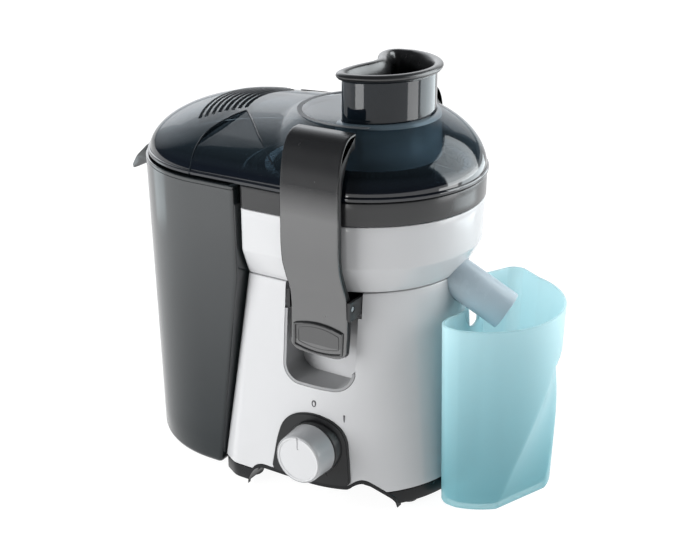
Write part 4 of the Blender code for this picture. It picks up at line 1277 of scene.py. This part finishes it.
def camera():
    turn, lift = math.radians(VIEW_AZIMUTH), math.radians(VIEW_ELEVATION)
    back = Vector((math.sin(turn) * math.cos(lift), -math.cos(turn) * math.cos(lift),
                   math.sin(lift)))
    lens = bpy.data.cameras.new("camera")
    lens.sensor_width = SENSOR
    lens.lens = FOCAL_LENGTH
    made = aimed("camera", lens, VIEW_TARGET + back * VIEW_DISTANCE, -back)
    bpy.context.scene.camera = made


def softbox(name, place, aim, size, radiance, colour=(1.0, 1.0, 1.0), mirrored=True, lit=True):
    """A rectangular lamp; radiance is the brightness of its face.

    It may be mirrored in glossy surfaces, light them, or both.
    """
    lamp = bpy.data.lights.new(name, "AREA")
    lamp.shape = "RECTANGLE"
    lamp.size, lamp.size_y = size
    lamp.energy = radiance * math.pi * size[0] * size[1]
    lamp.color = colour
    made = aimed(name, lamp, place, Vector(aim) - Vector(place))
    made.visible_camera = False
    made.visible_glossy = mirrored
    made.visible_diffuse = lit


GLOWS = (       # soft patches of the surroundings: direction, cosine where it ends, strength
    ((0.0, 0.0, 1.0), -1.5, 0.1),
    ((-0.48, 0.79, 0.38), 0.8, 1.3),
    ((-0.8, 0.4, 0.48), 0.85, 1.4),
)


def lights():
    middle = (0.0, 0.0, 150.0)
    softbox("key", (-700, -1150, 480), middle, (1.0, 1.0), 8.0, mirrored=False)
    softbox("back_card", (-1350, 2400, 1150), middle, (3.8, 1.4), 0.7)
    softbox("rim", (750, 650, 560), (70, 0, 230), (1.0, 0.9), 4.6, (0.93, 0.98, 1.0))
    chute = (10, -10, 300)
    softbox("side_fill", (760, 330, 220), middle, (0.5, 0.5), 2.2, mirrored=False)
    softbox("right_strip", (580, 170, 166), chute, (0.24, 0.08), 3.4, lit=False)
    softbox("back_strip", (330, 540, 160), chute, (0.6, 0.08), 3.0, (0.86, 0.96, 1.0), lit=False)
    softbox("front_strip", (60, -560, 178), chute, (0.16, 0.07), 5.0, lit=False)
    softbox("left_strip", (-700, -80, 50), (-180, -30, 200), (0.22, 0.22), 0.85, (0.8, 0.95, 1.0),
            lit=False)
    softbox("collar_strip", (445, 400, 50), (90, 10, 235), (0.34, 0.08), 2.4, (0.86, 0.96, 1.0),
            lit=False)


def surroundings():
    """The studio round the object: even light, with a few soft brighter patches."""
    world = bpy.data.worlds.new("studio")
    bpy.context.scene.world = world
    world.use_nodes = True
    tree = world.node_tree
    everywhere = add(tree, "TexCoord", {}, "Generated")
    total = None
    for direction, wide, strength in GLOWS:
        towards_it = {0: everywhere, 1: Vector(direction).normalized()}
        facing = add(tree, "VectorMath", towards_it, "Value", operation="DOT_PRODUCT")
        patch = ramp(tree, facing, 0.0, strength, wide, 1.0)
        total = patch if total is None else add(tree, "Math", {0: total, 1: patch})
    feed(tree, tree.nodes["Background"], {"Color": (0.93, 0.96, 1.0, 1.0), "Strength": total})


def floor():
    bm = bmesh.new()
    bmesh.ops.create_grid(bm, x_segments=2, y_segments=2, size=40.0)
    mesh = mesh_from("floor", bm)
    made, tree, shader = new_material("floor_paint")
    cloud = ramp(tree, noise(tree, 3.0), 0.0, 1.0)
    feed(tree, shader, {
        "Base Color": shades(tree, cloud, (0.14, 0.14, 0.142), (0.15, 0.15, 0.15)),
        "Roughness": 0.6, "Specular IOR Level": 0.2,
        "Emission Color": (1.0, 1.0, 1.0, 1.0), "Emission Strength": 0.94})
    mesh.materials.append(made)
    placed("floor", mesh)


base_plate()
feet()
motor_housing()
latch_liners()
control_panel()
dial_marks()
speed_knob()
juice_bowl()
bowl_collar()
juice_spout()
basket()
lid_shell()
lid_flange()
lid_windows()
grip_arcs()
plateau_ring()
feed_chute()
food_pusher()
pulp_container()
juice_cup()
latches()
finish_cad_nodes()
camera()
lights()
surroundings()
floor()

bpy.context.scene.view_settings.view_transform = "Standard"
